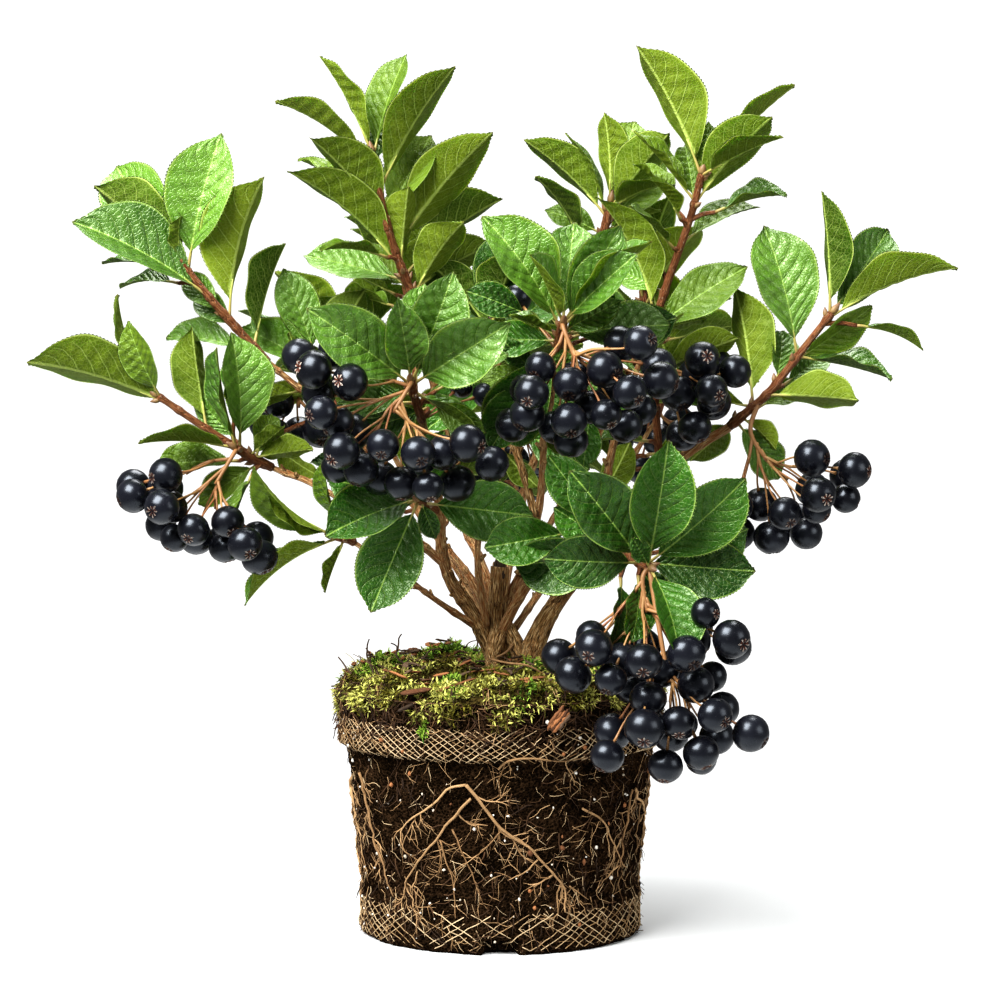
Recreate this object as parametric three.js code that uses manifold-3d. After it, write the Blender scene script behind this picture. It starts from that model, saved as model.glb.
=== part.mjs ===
// A young black chokeberry on its root ball, as it comes out of its pot. Millimetres, +Z up.
// The origin is the middle of the root ball's flat underside. The plant faces -Y.
import * as THREE from "three";
import { mergeVertices } from "three/addons/utils/BufferGeometryUtils.js";
import Module from "manifold-3d";

// Root ball, moulded by the pot it grew in
const FOOT = { radius: 61, bevel: 2 };
const BASE_BAND = { radius: 63, height: 20, step: 1 };
const SIDE = { bottomRadius: 62, topRadius: 68.5, top: 84 };
const LIP = { radius: 72.5, bevel: 2.5, top: 112 };
const BALL_SIDES = 32;
const FOOT_NOTCH = { count: 3, width: 16, height: 6, depth: 7 };

// How fast a root flare dies away along its limb
const FLARE_FALL = 9;

// Moss over the soil: its height at shares of its radius, and how far its mounds rise and fall
const MOSS = { radius: 70.5, foot: 68.5, edgeHeight: 2.5, sides: 24 };
const MOSS_HEIGHTS = [[0.84, 6], [0.6, 7.5], [0.35, 7.5], [0, 7.5]];
const MOSS_LUMP = 2.2;

// Clear width left between neighbouring pieces
const GAP = 0.3;
const SOIL_TOP = LIP.top;
const LIMB_FOOT = SOIL_TOP + GAP;

// Leaf blade, as shares of the leaf's whole length, stalk included
const LEAF_WIDTH = 0.5;
const LEAF_WIDEST = 0.58;
const LEAF_STALK = 0.11;
const LEAF_THICKNESS = 0.02;
const LEAF_FOLD = 0.16;
const LEAF_FREE_FROM = 0.3;
const LEAF_ARCH = 0.05;
const STALK_HALF_WIDTH = 0.8;

// Fruit
const BERRY_RADIUS = 7.9;
const BERRY_SPREAD = 0.5;
const BERRY_CORNERS_OUT = 1.07;
const BERRY_SPACING = 1.02;
const BERRY_TRIES = 60;
const BERRIES_PER_BRANCH = 4;
const BRANCH_REACH = 0.55;
const BRANCH_STEP = 0.2;
const AXIS_LENGTH = 15;
const STALK_SUNK = 2;
const FOOT_TAPER = 0.6;
const PEDICEL_RADIUS = 0.75;
const BRANCH_RADIUS = 1.2;
const PEDUNCLE_RADIUS = 1.6;

// Twigs inside a mass of foliage
const TWIG_RADIUS = 2;
const TWIG_TIP_RADIUS = 1.5;

// Leaves by the spiral rule: turn from one to the next, its play, the angle they open to low and high
// on the stem, where on the stem they start and end, and their lengths
const SPIRAL_TURN = 144;
const SPIRAL_PLAY = 40;
const SPIRAL_OPEN = [74, 40];
const SPIRAL_SHARES = [0.3, 0.98];
const SPIRAL_LENGTHS = [40, 54];

// Where on the stem a bunch of fruit starts when its own place isn't given, and the last stalk on a branch
const BUNCH_ROOT = 0.97;
const LAST_STALK = 0.97;

// Shifts tried, in degrees, when a leaf would touch a neighbour
const LEAF_SHIFTS = [0, 7, -7, 14, -14, 21, -21, 30, -30];

// The stool, from the flat cut at the soil to the sawn stub in its fork
const TRUNK = {
  name: "trunk",
  path: [[0, 0, LIMB_FOOT], [-1, 0, 131], [-1, 0, 149], [0, 0, 164]],
  radii: [6.2, 4.1],
  flare: 3.4,
  sides: 9,
};

// Boughs, each from its foot to where it enters its leaves. A later one is cut to fit an earlier one.
const BOUGHS = [
  {
    name: "bough_right_main",
    path: [
      [9, -7, LIMB_FOOT], [20, -5, 139], [32, 0, 157], [45, 4, 176], [63, 5, 198], [86, 3, 216],
      [103, 0, 227],
    ],
    radii: [4.6, 1.9],
    flare: 2,
  },
  {
    name: "bough_left_main",
    path: [
      [-3, -1, 124], [-13, -4, 144], [-22, -6, 158], [-26, -8, 172], [-27, -14, 190], [-29, -28, 212],
      [-34, -44, 231],
    ],
    radii: [4.3, 1.8],
  },
  {
    name: "bough_centre_right",
    path: [[0, 1, 140], [12, 6, 167], [18, 0, 194], [20, -16, 226], [24, -36, 252], [25, -44, 261]],
    radii: [3.4, 1.8],
  },
  {
    name: "bough_tall_left",
    path: [[-1, 2, 142], [-9, 16, 166], [-16, 24, 181], [-24, 26, 220], [-32, 20, 257], [-38, 12, 282]],
    radii: [3.2, 1.8],
  },
  {
    name: "bough_left_high",
    path: [
      [-2, 2, 138], [-14, 12, 158], [-25, 16, 172], [-48, 14, 202], [-72, 6, 230], [-90, 0, 244],
      [-104, -4, 256],
    ],
    radii: [3.1, 1.8],
  },
  {
    name: "bough_front_right",
    path: [[0, -2, 134], [13, -14, 158], [26, -28, 173], [38, -44, 182], [46, -58, 181], [52, -68, 176]],
    radii: [3.3, 1.9],
  },
  {
    name: "bough_left_low",
    path: [[-24, -7, 165], [-38, -10, 177], [-60, -14, 189], [-84, -12, 202], [-102, -8, 209]],
    radii: [2.7, 1.8],
  },
  {
    name: "bough_left_thin",
    path: [[-9, -3, 136], [-30, -14, 151], [-44, -18, 162], [-65, -16, 176]],
    radii: [2.2, 1.6],
  },
  {
    name: "bough_centre_thin",
    path: [[-6, -4, 138], [-10, -14, 168], [-8, -14, 186], [-1, -6, 204], [1, 4, 225], [0, 10, 240]],
    radii: [2.2, 1.6],
  },
  {
    name: "bough_tall_right",
    path: [[44, 5, 173], [48, 12, 198], [51, 16, 216], [60, 16, 246], [67, 12, 264]],
    radii: [2.7, 1.8],
  },
  {
    name: "bough_back_top",
    path: [[0, 3, 140], [10, 30, 193], [26, 46, 238], [40, 50, 285], [47, 46, 312]],
    radii: [3.1, 1.8],
  },
  {
    name: "bough_back_left",
    path: [[-3, 3, 134], [-24, 32, 168], [-46, 62, 204], [-62, 84, 236]],
    radii: [3, 1.8],
  },
  {
    name: "bough_back_right",
    path: [[4, 3, 132], [28, 34, 164], [54, 62, 198], [74, 78, 228]],
    radii: [3, 1.8],
  },
  {
    name: "bough_back_high_left",
    path: [[-2, 4, 138], [-16, 36, 190], [-32, 58, 246], [-40, 66, 276]],
    radii: [2.8, 1.8],
  },
  {
    name: "bough_back_high_right",
    path: [[2, 4, 142], [26, 44, 186], [56, 64, 240], [66, 70, 266]],
    radii: [2.8, 1.8],
  },
  {
    name: "bough_back_middle",
    path: [[0, 4, 130], [4, 40, 168], [8, 72, 200], [10, 98, 226]],
    radii: [2.8, 1.8],
  },
];

// Masses of foliage. A leaf is [share, bearing, length, lean, face]: how far along the stem it sits; its
// bearing in the plane that faces -Y, 0 to the right and 90 up; its length; its lean out of that plane
// towards -Y; and its turn about its own rib, where 0 shows the upper side at -Y. more: leaves set by the
// spiral rule. A bunch of fruit fans out from its hub between two bearings; root: its place on the stem.
const SHOOTS = [
  {
    name: "foliage_upper_left",
    stem: [[-104, -4, 256], [-128, -8, 283], [-143, -10, 302]],
    leaves: [
      [0.12, 75, 53, -22, 160], [0.28, 142, 28, -30, 0], [0.34, 75, 67, 12, 180], [0.55, 151, 69, 8, 30],
      [0.4, 136, 28, -25, 0], [0.92, 138, 53, 20, 180], [0.98, 126, 60, -12, 0], [0.86, 76, 63, 0, 0],
      [0.97, 88, 22, 20, 150],
    ],
    more: 2,
  },
  {
    name: "foliage_far_left",
    stem: [[-102, -8, 209], [-124, -12, 222], [-152, -14, 241]],
    leaves: [[0.62, 99, 47, -8, 160], [0.84, 162, 70, 10, 150], [0.98, 111, 38, 15, 10]],
    more: 1,
  },
  {
    name: "foliage_left",
    stem: [[-102, -8, 209], [-110, -14, 213], [-117, -20, 218]],
    leaves: [
      [0.2, -27, 32, -30, 0], [0.3, 214, 36, -15, 0], [0.45, 73, 28, -40, 20], [0.55, 8, 28, -10, 160],
      [0.62, 40, 22, 10, 160], [0.75, 120, 40, -30, 170], [0.9, 93, 53, 8, 55], [0.98, 176, 46, 26, 170],
    ],
    fruit: [
      { hub: [-118, -24, 215], bearings: [196, 288], reach: [32, 50], leans: [-22, 44], count: 12, seed: 3 },
    ],
    more: 1,
  },
  {
    name: "foliage_low_left",
    stem: [[-65, -16, 176], [-69, -19, 178], [-73, -22, 179]],
    leaves: [[0.9, 145, 42, 22, 170], [0.7, 215, 53, 8, 170], [0.5, 250, 26, 0, 160]],
    more: 1,
  },
  {
    name: "foliage_top_left",
    stem: [[-38, 12, 282], [-45, 8, 300], [-51, 2, 319], [-57, -4, 349]],
    leaves: [
      [0.2, 166, 50, -12, 20], [0.06, 55, 46, 28, 170], [0.12, 142, 42, -40, 0], [0.1, 32, 50, -30, 180],
      [0.27, 139, 70, 12, 150], [0.32, 84, 38, 20, 170], [0.24, 39, 62, -22, 180], [0.45, 50, 69, 5, 160],
      [0.62, 131, 57, 25, 180], [0.66, 64, 48, -20, 0], [0.9, 144, 57, -6, 150], [0.82, 58, 66, 12, 180],
      [0.99, 118, 50, 4, 180], [0.94, 76, 30, -24, 0],
    ],
    more: 1,
  },
  {
    name: "foliage_front_left",
    stem: [[-34, -44, 231], [-37, -56, 242], [-38, -65, 248]],
    leaves: [
      [0.55, 190, 32, -28, 0], [0.62, -41, 36, -12, 160], [0.82, 143, 60, 25, 0],
      [0.86, 32, 55, 25, 10], [0.92, 69, 52, 12, 25], [0.98, 98, 43, 34, 10],
    ],
    fruit: [
      { hub: [-38, -68, 247], bearings: [156, 320], reach: [32, 50], leans: [-14, 40], count: 15, seed: 11 },
    ],
    more: 1,
  },
  {
    name: "foliage_front_low",
    stem: [[-28, -14, 190], [-32, -25, 193], [-36, -35, 196]],
    leaves: [[0.5, 164, 47, 12, 0], [0.7, -6, 50, 14, 0], [0.95, 247, 56, 22, 0], [0.85, -68, 18, 10, 0]],
    more: 2,
  },
  {
    name: "foliage_back_top",
    stem: [[47, 46, 312], [49, 45, 320], [51, 44, 330]],
    leaves: [
      [0.2, 157, 30, -10, 0], [0.3, 20, 30, -15, 160], [0.5, 46, 42, -10, 20],
      [0.65, 137, 53, 0, 180], [0.8, 52, 50, 8, 150], [0.95, 94, 43, 12, 180],
    ],
    more: 4,
  },
  {
    name: "foliage_top_right",
    stem: [[67, 12, 264], [75, 8, 290], [86, 0, 323], [90, -4, 340]],
    leaves: [
      [0.06, 16, 26, 10, 170], [0.08, 34, 52, -8, 0], [0.14, 116, 63, 6, 180], [0.3, 150, 30, -40, 0],
      [0.72, 49, 54, 20, 180], [0.74, 97, 32, -30, 0], [0.95, 45, 61, -6, 160], [0.9, 80, 32, -28, 0],
      [0.98, 117, 65, 4, 180],
    ],
    more: 3,
  },
  {
    name: "foliage_front_centre",
    stem: [[25, -44, 261], [26, -53, 268], [27, -61, 273]],
    leaves: [
      [0.2, 239, 54, -22, 0], [0.3, 180, 34, -30, 0], [0.42, 157, 24, 0, 170], [0.5, 5, 50, -14, 0],
      [0.58, 28, 30, 14, 0], [0.66, 125, 60, 8, 30], [0.74, 44, 55, 22, 170], [0.82, 83, 50, -16, 0],
      [0.9, 60, 50, -2, 10], [0.98, 117, 40, 30, 180],
    ],
    fruit: [
      { hub: [27, -64, 271], bearings: [238, 348], reach: [22, 50], leans: [-14, 40], count: 15, seed: 5 },
    ],
    more: 1,
  },
  {
    name: "foliage_right_inner",
    stem: [[72, -1, 207], [70, -8, 230], [68, -14, 256]],
    leaves: [[0.9, 23, 42, -6, 160], [0.7, 10, 34, -25, 0], [0.6, 160, 34, -20, 0], [0.95, 60, 30, -20, 160]],
    fruit: [
      { hub: [69, -16, 257], bearings: [288, 362], reach: [18, 38], leans: [-30, 44], count: 8, seed: 9 },
    ],
    more: 2,
  },
  {
    name: "foliage_right",
    stem: [[103, 0, 227], [120, -3, 242], [134, -6, 260], [148, -8, 278]],
    leaves: [
      [0.06, -53, 36, -20, 0], [0.04, 225, 34, -20, 160], [0.1, -43, 22, 10, 170], [0.2, 177, 30, -10, 160],
      [0.2, 98, 56, 6, 170], [0.32, -3, 44, 26, 170], [0.42, 81, 28, -30, 0], [0.64, 104, 61, -6, 0],
      [0.6, 35, 44, -6, 55], [0.98, 95, 56, 8, 180], [0.96, 54, 53, -20, 0], [0.94, 22, 63, 8, 170],
    ],
    fruit: [
      {
        root: 0.25, hub: [112, -8, 225], bearings: [254, 340], reach: [32, 52], leans: [-20, 40],
        count: 12, seed: 2,
      },
    ],
    more: 2,
  },
  {
    name: "foliage_front_right",
    stem: [[52, -68, 176], [58, -77, 172], [63, -87, 170]],
    leaves: [
      [0.1, 148, 36, -25, 0], [0.2, 186, 50, -14, 0], [0.4, -56, 34, -14, 0], [0.55, -4, 50, 10, 0],
      [0.62, 176, 45, 22, 0], [0.72, 128, 54, 12, 10], [0.82, 42, 57, 12, 10], [0.92, 82, 57, 18, 0],
      [0.98, 120, 18, 34, 0],
    ],
    fruit: [
      { hub: [60, -88, 166], bearings: [224, 334], reach: [30, 52], leans: [-20, 40], count: 15, seed: 7 },
      { hub: [68, -94, 137], bearings: [240, 320], reach: [32, 52], leans: [-22, 36], count: 10, seed: 4 },
    ],
    more: 1,
  },
  {
    name: "foliage_centre",
    stem: [[0, 10, 240], [-1, 12, 254], [-4, 14, 271]],
    leaves: [
      [0.98, 80, 46, -5, 0], [0.8, 40, 44, -10, 0], [0.85, 130, 46, 0, 150], [0.6, 10, 40, 0, 160],
      [0.65, 175, 40, 10, 0], [0.4, -30, 40, 10, 0], [0.3, 215, 40, 0, 0],
    ],
    more: 3,
  },
  {
    name: "foliage_inner_left",
    stem: [[-74, 11, 233], [-80, 18, 246], [-84, 20, 258]],
    leaves: [
      [0.98, 110, 44, 0, 0], [0.8, 60, 42, -5, 160], [0.7, 150, 42, 5, 0], [0.5, 20, 42, 0, 0],
      [0.4, 195, 36, 0, 160],
    ],
    fruit: [
      { hub: [-90, 21, 250], bearings: [225, 300], reach: [16, 34], leans: [-20, 24], count: 5, seed: 6 },
    ],
    more: 2,
  },
  {
    name: "foliage_back_left",
    stem: [[-62, 84, 236], [-68, 92, 252], [-72, 98, 266]],
    leaves: [],
    fruit: [
      { hub: [-66, 100, 250], bearings: [230, 310], reach: [30, 46], leans: [-60, -20], count: 6, seed: 8 },
    ],
    more: 11,
  },
  {
    name: "foliage_back_right",
    stem: [[74, 78, 228], [80, 86, 246], [82, 92, 262]],
    leaves: [],
    fruit: [
      { hub: [76, 96, 244], bearings: [230, 310], reach: [30, 46], leans: [-60, -20], count: 6, seed: 12 },
    ],
    more: 11,
  },
  {
    name: "foliage_back_high_left",
    stem: [[-40, 66, 276], [-44, 70, 290], [-46, 74, 304]],
    leaves: [],
    more: 9,
  },
  {
    name: "foliage_back_high_right",
    stem: [[66, 70, 266], [68, 74, 280], [68, 78, 294]],
    leaves: [],
    more: 9,
  },
  {
    name: "foliage_back_middle",
    stem: [[10, 98, 226], [10, 108, 240], [8, 114, 254]],
    leaves: [],
    fruit: [
      { hub: [9, 118, 236], bearings: [230, 310], reach: [30, 48], leans: [-60, -20], count: 7, seed: 14 },
    ],
    more: 11,
  },
];

const degrees = THREE.MathUtils.degToRad;
const wasm = await Module();
wasm.setup();

// The same row of numbers from the same seed, each from 0 to 1
function seeded(seed) {
  let state = seed >>> 0;
  return () => {
    state = (state + 0x6d2b79f5) >>> 0;
    let mixed = Math.imul(state ^ (state >>> 15), state | 1);
    mixed ^= mixed + Math.imul(mixed ^ (mixed >>> 7), mixed | 61);
    return ((mixed ^ (mixed >>> 14)) >>> 0) / 4294967296;
  };
}

function solidOf(geometry) {
  geometry.deleteAttribute("normal");
  geometry.deleteAttribute("uv");
  const merged = mergeVertices(geometry, 1e-4);
  return new wasm.Manifold(new wasm.Mesh({
    numProp: 3,
    vertProperties: new Float32Array(merged.getAttribute("position").array),
    triVerts: new Uint32Array(merged.index.array),
  }));
}

function geometryOf(solid) {
  const mesh = solid.getMesh();
  const geometry = new THREE.BufferGeometry();
  geometry.setAttribute("position", new THREE.BufferAttribute(mesh.vertProperties, 3));
  geometry.setIndex(new THREE.BufferAttribute(mesh.triVerts, 1));
  geometry.computeVertexNormals();
  return geometry;
}

// The one body that is left once loose scraps and sealed hollows are dropped
function largestBody(solid) {
  return solid.decompose().reduce((best, body) => (body.volume() > best.volume() ? body : best));
}

function joined(solids) {
  return solids.reduce((whole, solid) => whole.add(solid));
}

// -1, 0 or 1, with the rounding of a cosine left out
function sign(value) {
  return Math.abs(value) < 0.01 ? 0 : Math.sign(value);
}

function between([low, high], share) {
  return low + (high - low) * share;
}

function vector(place) {
  return new THREE.Vector3(...place);
}

// A cylinder bent along a path, its radius given along the way
function bentRod(points, radiusAt, sides, rings) {
  const curve = new THREE.CatmullRomCurve3(points);
  const frames = curve.computeFrenetFrames(rings);
  const rod = new THREE.CylinderGeometry(1, 1, 1, sides, rings);
  const place = rod.getAttribute("position");
  for (let i = 0; i < place.count; i += 1) {
    const ring = Math.round((place.getY(i) + 0.5) * rings);
    const radius = radiusAt(ring / rings);
    const spot = curve.getPoint(ring / rings)
      .addScaledVector(frames.normals[ring], place.getZ(i) * radius)
      .addScaledVector(frames.binormals[ring], place.getX(i) * radius);
    place.setXYZ(i, spot.x, spot.y, spot.z);
  }
  return solidOf(rod);
}

// A tapering limb, a little fatter where a neighbour has to keep clear of it
function limb({ path, radii, flare = 0, sides = 5 }, extra = 0) {
  const rings = path.length + 2;
  const radiusAt = (t) => between(radii, t) + flare * Math.exp(-t * FLARE_FALL) + extra;
  return bentRod(path.map(vector), radiusAt, sides, rings);
}

// A three-sided twig, straight between two points and smooth through more
function twig(points, footRadius, tipRadius) {
  const rings = points.length > 2 ? (points.length - 1) * 2 : 1;
  return bentRod(points, (t) => between([footRadius, tipRadius], t), 3, rings);
}

// Everything below the level of a limb's foot is cut off
function aboveSoil(solid) {
  const slab = new THREE.BoxGeometry(LIP.radius * 2, LIP.radius * 2, LIP.top);
  slab.translate(0, 0, LIMB_FOOT - LIP.top / 2);
  return solid.subtract(solidOf(slab));
}

// A closed blade on a short stalk. Its edges rise in a fold and its rib is arched.
function leafSolid({ foot, along, up }, length, extra = 0) {
  const side = new THREE.Vector3().crossVectors(along, up);
  const shares = [0, LEAF_STALK, LEAF_WIDEST, 1];
  const halfWidths = [0, STALK_HALF_WIDTH, (length * LEAF_WIDTH) / 2, 0];
  const blade = new THREE.SphereGeometry(1, 4, shares.length - 1);
  const place = blade.getAttribute("position");
  for (let i = 0; i < place.count; i += 1) {
    const row = Math.round((1 - Math.acos(place.getY(i)) / Math.PI) * (shares.length - 1));
    const share = shares[row];
    const across = sign(place.getX(i)) * (halfWidths[row] + extra);
    const thick = (sign(place.getZ(i)) * (length * LEAF_THICKNESS + 2 * extra)) / 2;
    const arch = LEAF_ARCH * 4 * share * (1 - share) * length;
    const rise = arch + Math.abs(across) * LEAF_FOLD * 2;
    const spot = foot.clone()
      .addScaledVector(along, share * (length + extra))
      .addScaledVector(side, across)
      .addScaledVector(up, rise + thick);
    place.setXYZ(i, spot.x, spot.y, spot.z);
  }
  return solidOf(blade);
}

// A unit vector from a bearing in the plane that faces -Y and a lean out of it towards -Y, in radians
function direction(bearing, lean) {
  const level = Math.cos(lean);
  return new THREE.Vector3(Math.cos(bearing) * level, -Math.sin(lean), Math.sin(bearing) * level);
}

// Which way a leaf points and which way its upper side faces
function shownLeaf([, bearing, , lean, face], shift) {
  const turn = degrees(bearing);
  const out = degrees(lean + shift);
  const along = direction(turn, out);
  const up = new THREE.Vector3(0, -1, 0);
  up.addScaledVector(along, -up.dot(along)).normalize();
  up.applyAxisAngle(along, degrees(face));
  return { along, up };
}

function spiralLeaf(axis, index, share, play, shift) {
  const side = new THREE.Vector3(0, 1, 0).cross(axis).normalize();
  side.applyAxisAngle(axis, degrees(SPIRAL_TURN * index + SPIRAL_PLAY * play));
  const open = degrees(between(SPIRAL_OPEN, share) + shift);
  const along = axis.clone().multiplyScalar(Math.cos(open)).addScaledVector(side, Math.sin(open));
  const up = axis.clone().addScaledVector(along, -axis.dot(along)).normalize();
  return { along, up };
}

function isClear(solid, neighbours) {
  return neighbours.every((neighbour) => solid.intersect(neighbour).isEmpty());
}

// Tries a leaf at each shift until it touches no neighbour, and no leaf of its own twig but near the foot
function placedLeaf(foot, length, poseAt, neighbours, leaves) {
  const knot = solidOf(new THREE.OctahedronGeometry(length * LEAF_FREE_FROM)).translate(foot.toArray());
  for (const shift of LEAF_SHIFTS) {
    const pose = { foot, ...poseAt(shift) };
    const grown = leafSolid(pose, length, GAP);
    const clear = isClear(grown.subtract(knot), leaves) && isClear(grown, neighbours);
    if (clear) return leafSolid(pose, length);
  }
  return null;
}

function fanSpot({ hub, bearings, reach, leans }, random) {
  const bearing = degrees(between(bearings, random()));
  const lean = degrees(between(leans, random()));
  const distance = between(reach, random());
  return direction(bearing, lean).multiplyScalar(distance).add(vector(hub));
}

// A twenty-sided ball with the middle of one face towards its stalk
function berrySolid(spot, radius, stalk = new THREE.Vector3()) {
  const ball = new THREE.IcosahedronGeometry(radius * BERRY_CORNERS_OUT);
  const face = new THREE.Vector3(1, 1, 1).normalize();
  const towards = stalk.clone().sub(spot).normalize();
  ball.applyQuaternion(new THREE.Quaternion().setFromUnitVectors(face, towards));
  ball.translate(spot.x, spot.y, spot.z);
  return solidOf(ball);
}

// Berries drawn one by one in the bunch's fan, each clear of the others and of the leaves
function berriesOf(bunch, neighbours) {
  const random = seeded(bunch.seed);
  const berries = [];
  for (let i = 0; i < bunch.count * BERRY_TRIES && berries.length < bunch.count; i += 1) {
    const spot = fanSpot(bunch, random);
    const radius = BERRY_RADIUS + (random() - 0.5) * 2 * BERRY_SPREAD;
    const reach = (other) => (radius + other.radius) * BERRY_SPACING;
    const apart = berries.every((other) => spot.distanceTo(other.spot) > reach(other));
    if (apart && isClear(berrySolid(spot, radius + GAP), neighbours)) berries.push({ spot, radius });
  }
  return berries;
}

// A berry and the stalk that it hangs from, which starts at a branch of the bunch
function stalkedBerry({ spot, radius }, from) {
  const end = spot.clone().lerp(from, (radius - STALK_SUNK) / spot.distanceTo(from));
  const stalk = twig([from, end], PEDICEL_RADIUS * FOOT_TAPER, PEDICEL_RADIUS);
  return [stalk, berrySolid(spot, radius, from)];
}

function middleOf(berries) {
  const sum = berries.reduce((total, { spot }) => total.add(spot), new THREE.Vector3());
  return sum.divideScalar(berries.length);
}

// One side branch of a bunch with its few berries, none where its stalks would touch a neighbour
function branchSolids(foot, few, neighbours) {
  const tip = foot.clone().lerp(middleOf(few), BRANCH_REACH);
  const branch = twig([foot, tip], BRANCH_RADIUS * FOOT_TAPER, BRANCH_RADIUS);
  if (!isClear(branch, neighbours)) return [];
  few.sort((a, b) => b.spot.distanceTo(foot) - a.spot.distanceTo(foot));
  const stalkFoot = (i) => foot.clone().lerp(tip, LAST_STALK - i * BRANCH_STEP);
  const stalked = few.map((berry, i) => stalkedBerry(berry, stalkFoot(i)));
  return [branch, ...stalked.filter(([stalk]) => isClear(stalk, neighbours)).flat()];
}

// A bunch: a stalk from the twig to the hub, a short axis on from it, and branches set along that axis
function bunchSolids(bunch, root, neighbours, leaves) {
  const berries = berriesOf(bunch, neighbours.concat(leaves));
  const hub = vector(bunch.hub);
  const turnOf = ({ spot }) => Math.atan2(spot.x - hub.x, hub.z - spot.z);
  berries.sort((a, b) => turnOf(a) - turnOf(b));
  const middle = middleOf(berries);
  const axisTip = hub.clone().lerp(middle, AXIS_LENGTH / hub.distanceTo(middle));
  const solids = [twig([root, hub, axisTip], PEDUNCLE_RADIUS, PEDUNCLE_RADIUS)];
  if (!isClear(solids[0], neighbours)) return [];
  const branches = Math.ceil(berries.length / BERRIES_PER_BRANCH);
  for (let i = 0; i < branches; i += 1) {
    const few = berries.slice(i * BERRIES_PER_BRANCH, (i + 1) * BERRIES_PER_BRANCH);
    const foot = hub.clone().lerp(axisTip, (i + 0.5) / branches);
    solids.push(...branchSolids(foot, few, neighbours));
  }
  return solids;
}

function stemSolid(shoot, extra = 0) {
  return twig(shoot.stem.map(vector), TWIG_RADIUS + extra, TWIG_TIP_RADIUS + extra);
}

// Stem, leaves and fruit of one mass, fused into one body
function shootSolid(shoot, seed, stem, neighbours) {
  const random = seeded(seed);
  const curve = new THREE.CatmullRomCurve3(shoot.stem.map(vector));
  const parts = [];
  const grow = (share, length, poseAt) => {
    const leaf = placedLeaf(curve.getPoint(share), length, poseAt, neighbours, parts);
    if (leaf) parts.push(leaf);
  };
  shoot.leaves.forEach((leaf) => grow(leaf[0], leaf[2], (shift) => shownLeaf(leaf, shift)));
  for (let i = 0; i < shoot.more; i += 1) {
    const share = between(SPIRAL_SHARES, (i + 1) / shoot.more);
    const axis = curve.getTangent(share);
    const length = between(SPIRAL_LENGTHS, random());
    const play = random();
    grow(share, length, (shift) => spiralLeaf(axis, i, share, play, shift));
  }
  const bunches = (shoot.fruit ?? []).flatMap((bunch) => {
    return bunchSolids(bunch, curve.getPoint(bunch.root ?? BUNCH_ROOT), neighbours, parts);
  });
  return largestBody(joined([stem, ...parts, ...bunches]));
}

function named(name, solid, material) {
  const mesh = new THREE.Mesh(geometryOf(solid), material);
  mesh.name = name;
  return mesh;
}

// A closed outline of [radius, height] turned about the upright axis
function turned(outline, sides) {
  const points = outline.map(([radius, height]) => new THREE.Vector2(radius, height));
  return new THREE.LatheGeometry(points, sides).rotateX(Math.PI / 2);
}

// Root ball: foot, base band, tapering side and the thicker band that the pot's rim left
function rootBall() {
  const outline = [
    [0, 0],
    [FOOT.radius, 0],
    [BASE_BAND.radius, FOOT.bevel],
    [BASE_BAND.radius, BASE_BAND.height],
    [SIDE.bottomRadius, BASE_BAND.height + BASE_BAND.step],
    [SIDE.topRadius, SIDE.top],
    [LIP.radius, SIDE.top + LIP.bevel],
    [LIP.radius, LIP.top - LIP.bevel],
    [LIP.radius - LIP.bevel, LIP.top],
    [0, LIP.top],
  ];
  let solid = solidOf(turned(outline, BALL_SIDES));
  for (let i = 0; i < FOOT_NOTCH.count; i += 1) {
    const notch = new THREE.BoxGeometry(FOOT_NOTCH.width, FOOT_NOTCH.depth * 2, FOOT_NOTCH.height * 2);
    notch.translate(0, -BASE_BAND.radius, 0);
    notch.rotateZ((i * 2 * Math.PI) / FOOT_NOTCH.count);
    solid = solid.subtract(solidOf(notch));
  }
  return solid;
}

// Mounds a few centimetres across, from -1.6 to 1.6
function mossLump(x, y) {
  return Math.sin(x * 0.13 + 1.7) * Math.cos(y * 0.11 - 0.6) + 0.6 * Math.sin(x * 0.05 - y * 0.09);
}

function mossCap() {
  const floor = SOIL_TOP + GAP;
  const edge = [[0, floor], [MOSS.foot, floor], [MOSS.radius, floor + MOSS.edgeHeight]];
  const top = MOSS_HEIGHTS.map(([share, height]) => [MOSS.radius * share, floor + height]);
  const cap = turned([...edge, ...top], MOSS.sides);
  const place = cap.getAttribute("position");
  for (let i = 0; i < place.count; i += 1) {
    const raised = place.getZ(i) > floor + MOSS.edgeHeight + GAP;
    if (raised) place.setZ(i, place.getZ(i) + MOSS_LUMP * mossLump(place.getX(i), place.getY(i)));
  }
  return solidOf(cap);
}

const material = {
  soil: new THREE.MeshStandardMaterial({ color: 0x33261b, roughness: 0.95, metalness: 0 }),
  moss: new THREE.MeshStandardMaterial({ color: 0x7d8a2b, roughness: 1, metalness: 0 }),
  bark: new THREE.MeshStandardMaterial({ color: 0x6f5a45, roughness: 0.85, metalness: 0 }),
  foliage: new THREE.MeshStandardMaterial({ color: 0x4f7d32, roughness: 0.5, metalness: 0 }),
};

const group = new THREE.Group();
group.add(named("root_ball", rootBall(), material.soil));

const fatLimbs = [];
for (const spec of [TRUNK, ...BOUGHS]) {
  const cut = fatLimbs.reduce((solid, earlier) => solid.subtract(earlier), limb(spec));
  fatLimbs.push(limb(spec, GAP));
  group.add(named(spec.name, largestBody(aboveSoil(cut)), material.bark));
}

const moss = fatLimbs.reduce((solid, limbNear) => solid.subtract(limbNear), mossCap());
group.add(named("moss_cap", largestBody(moss), material.moss));

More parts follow.
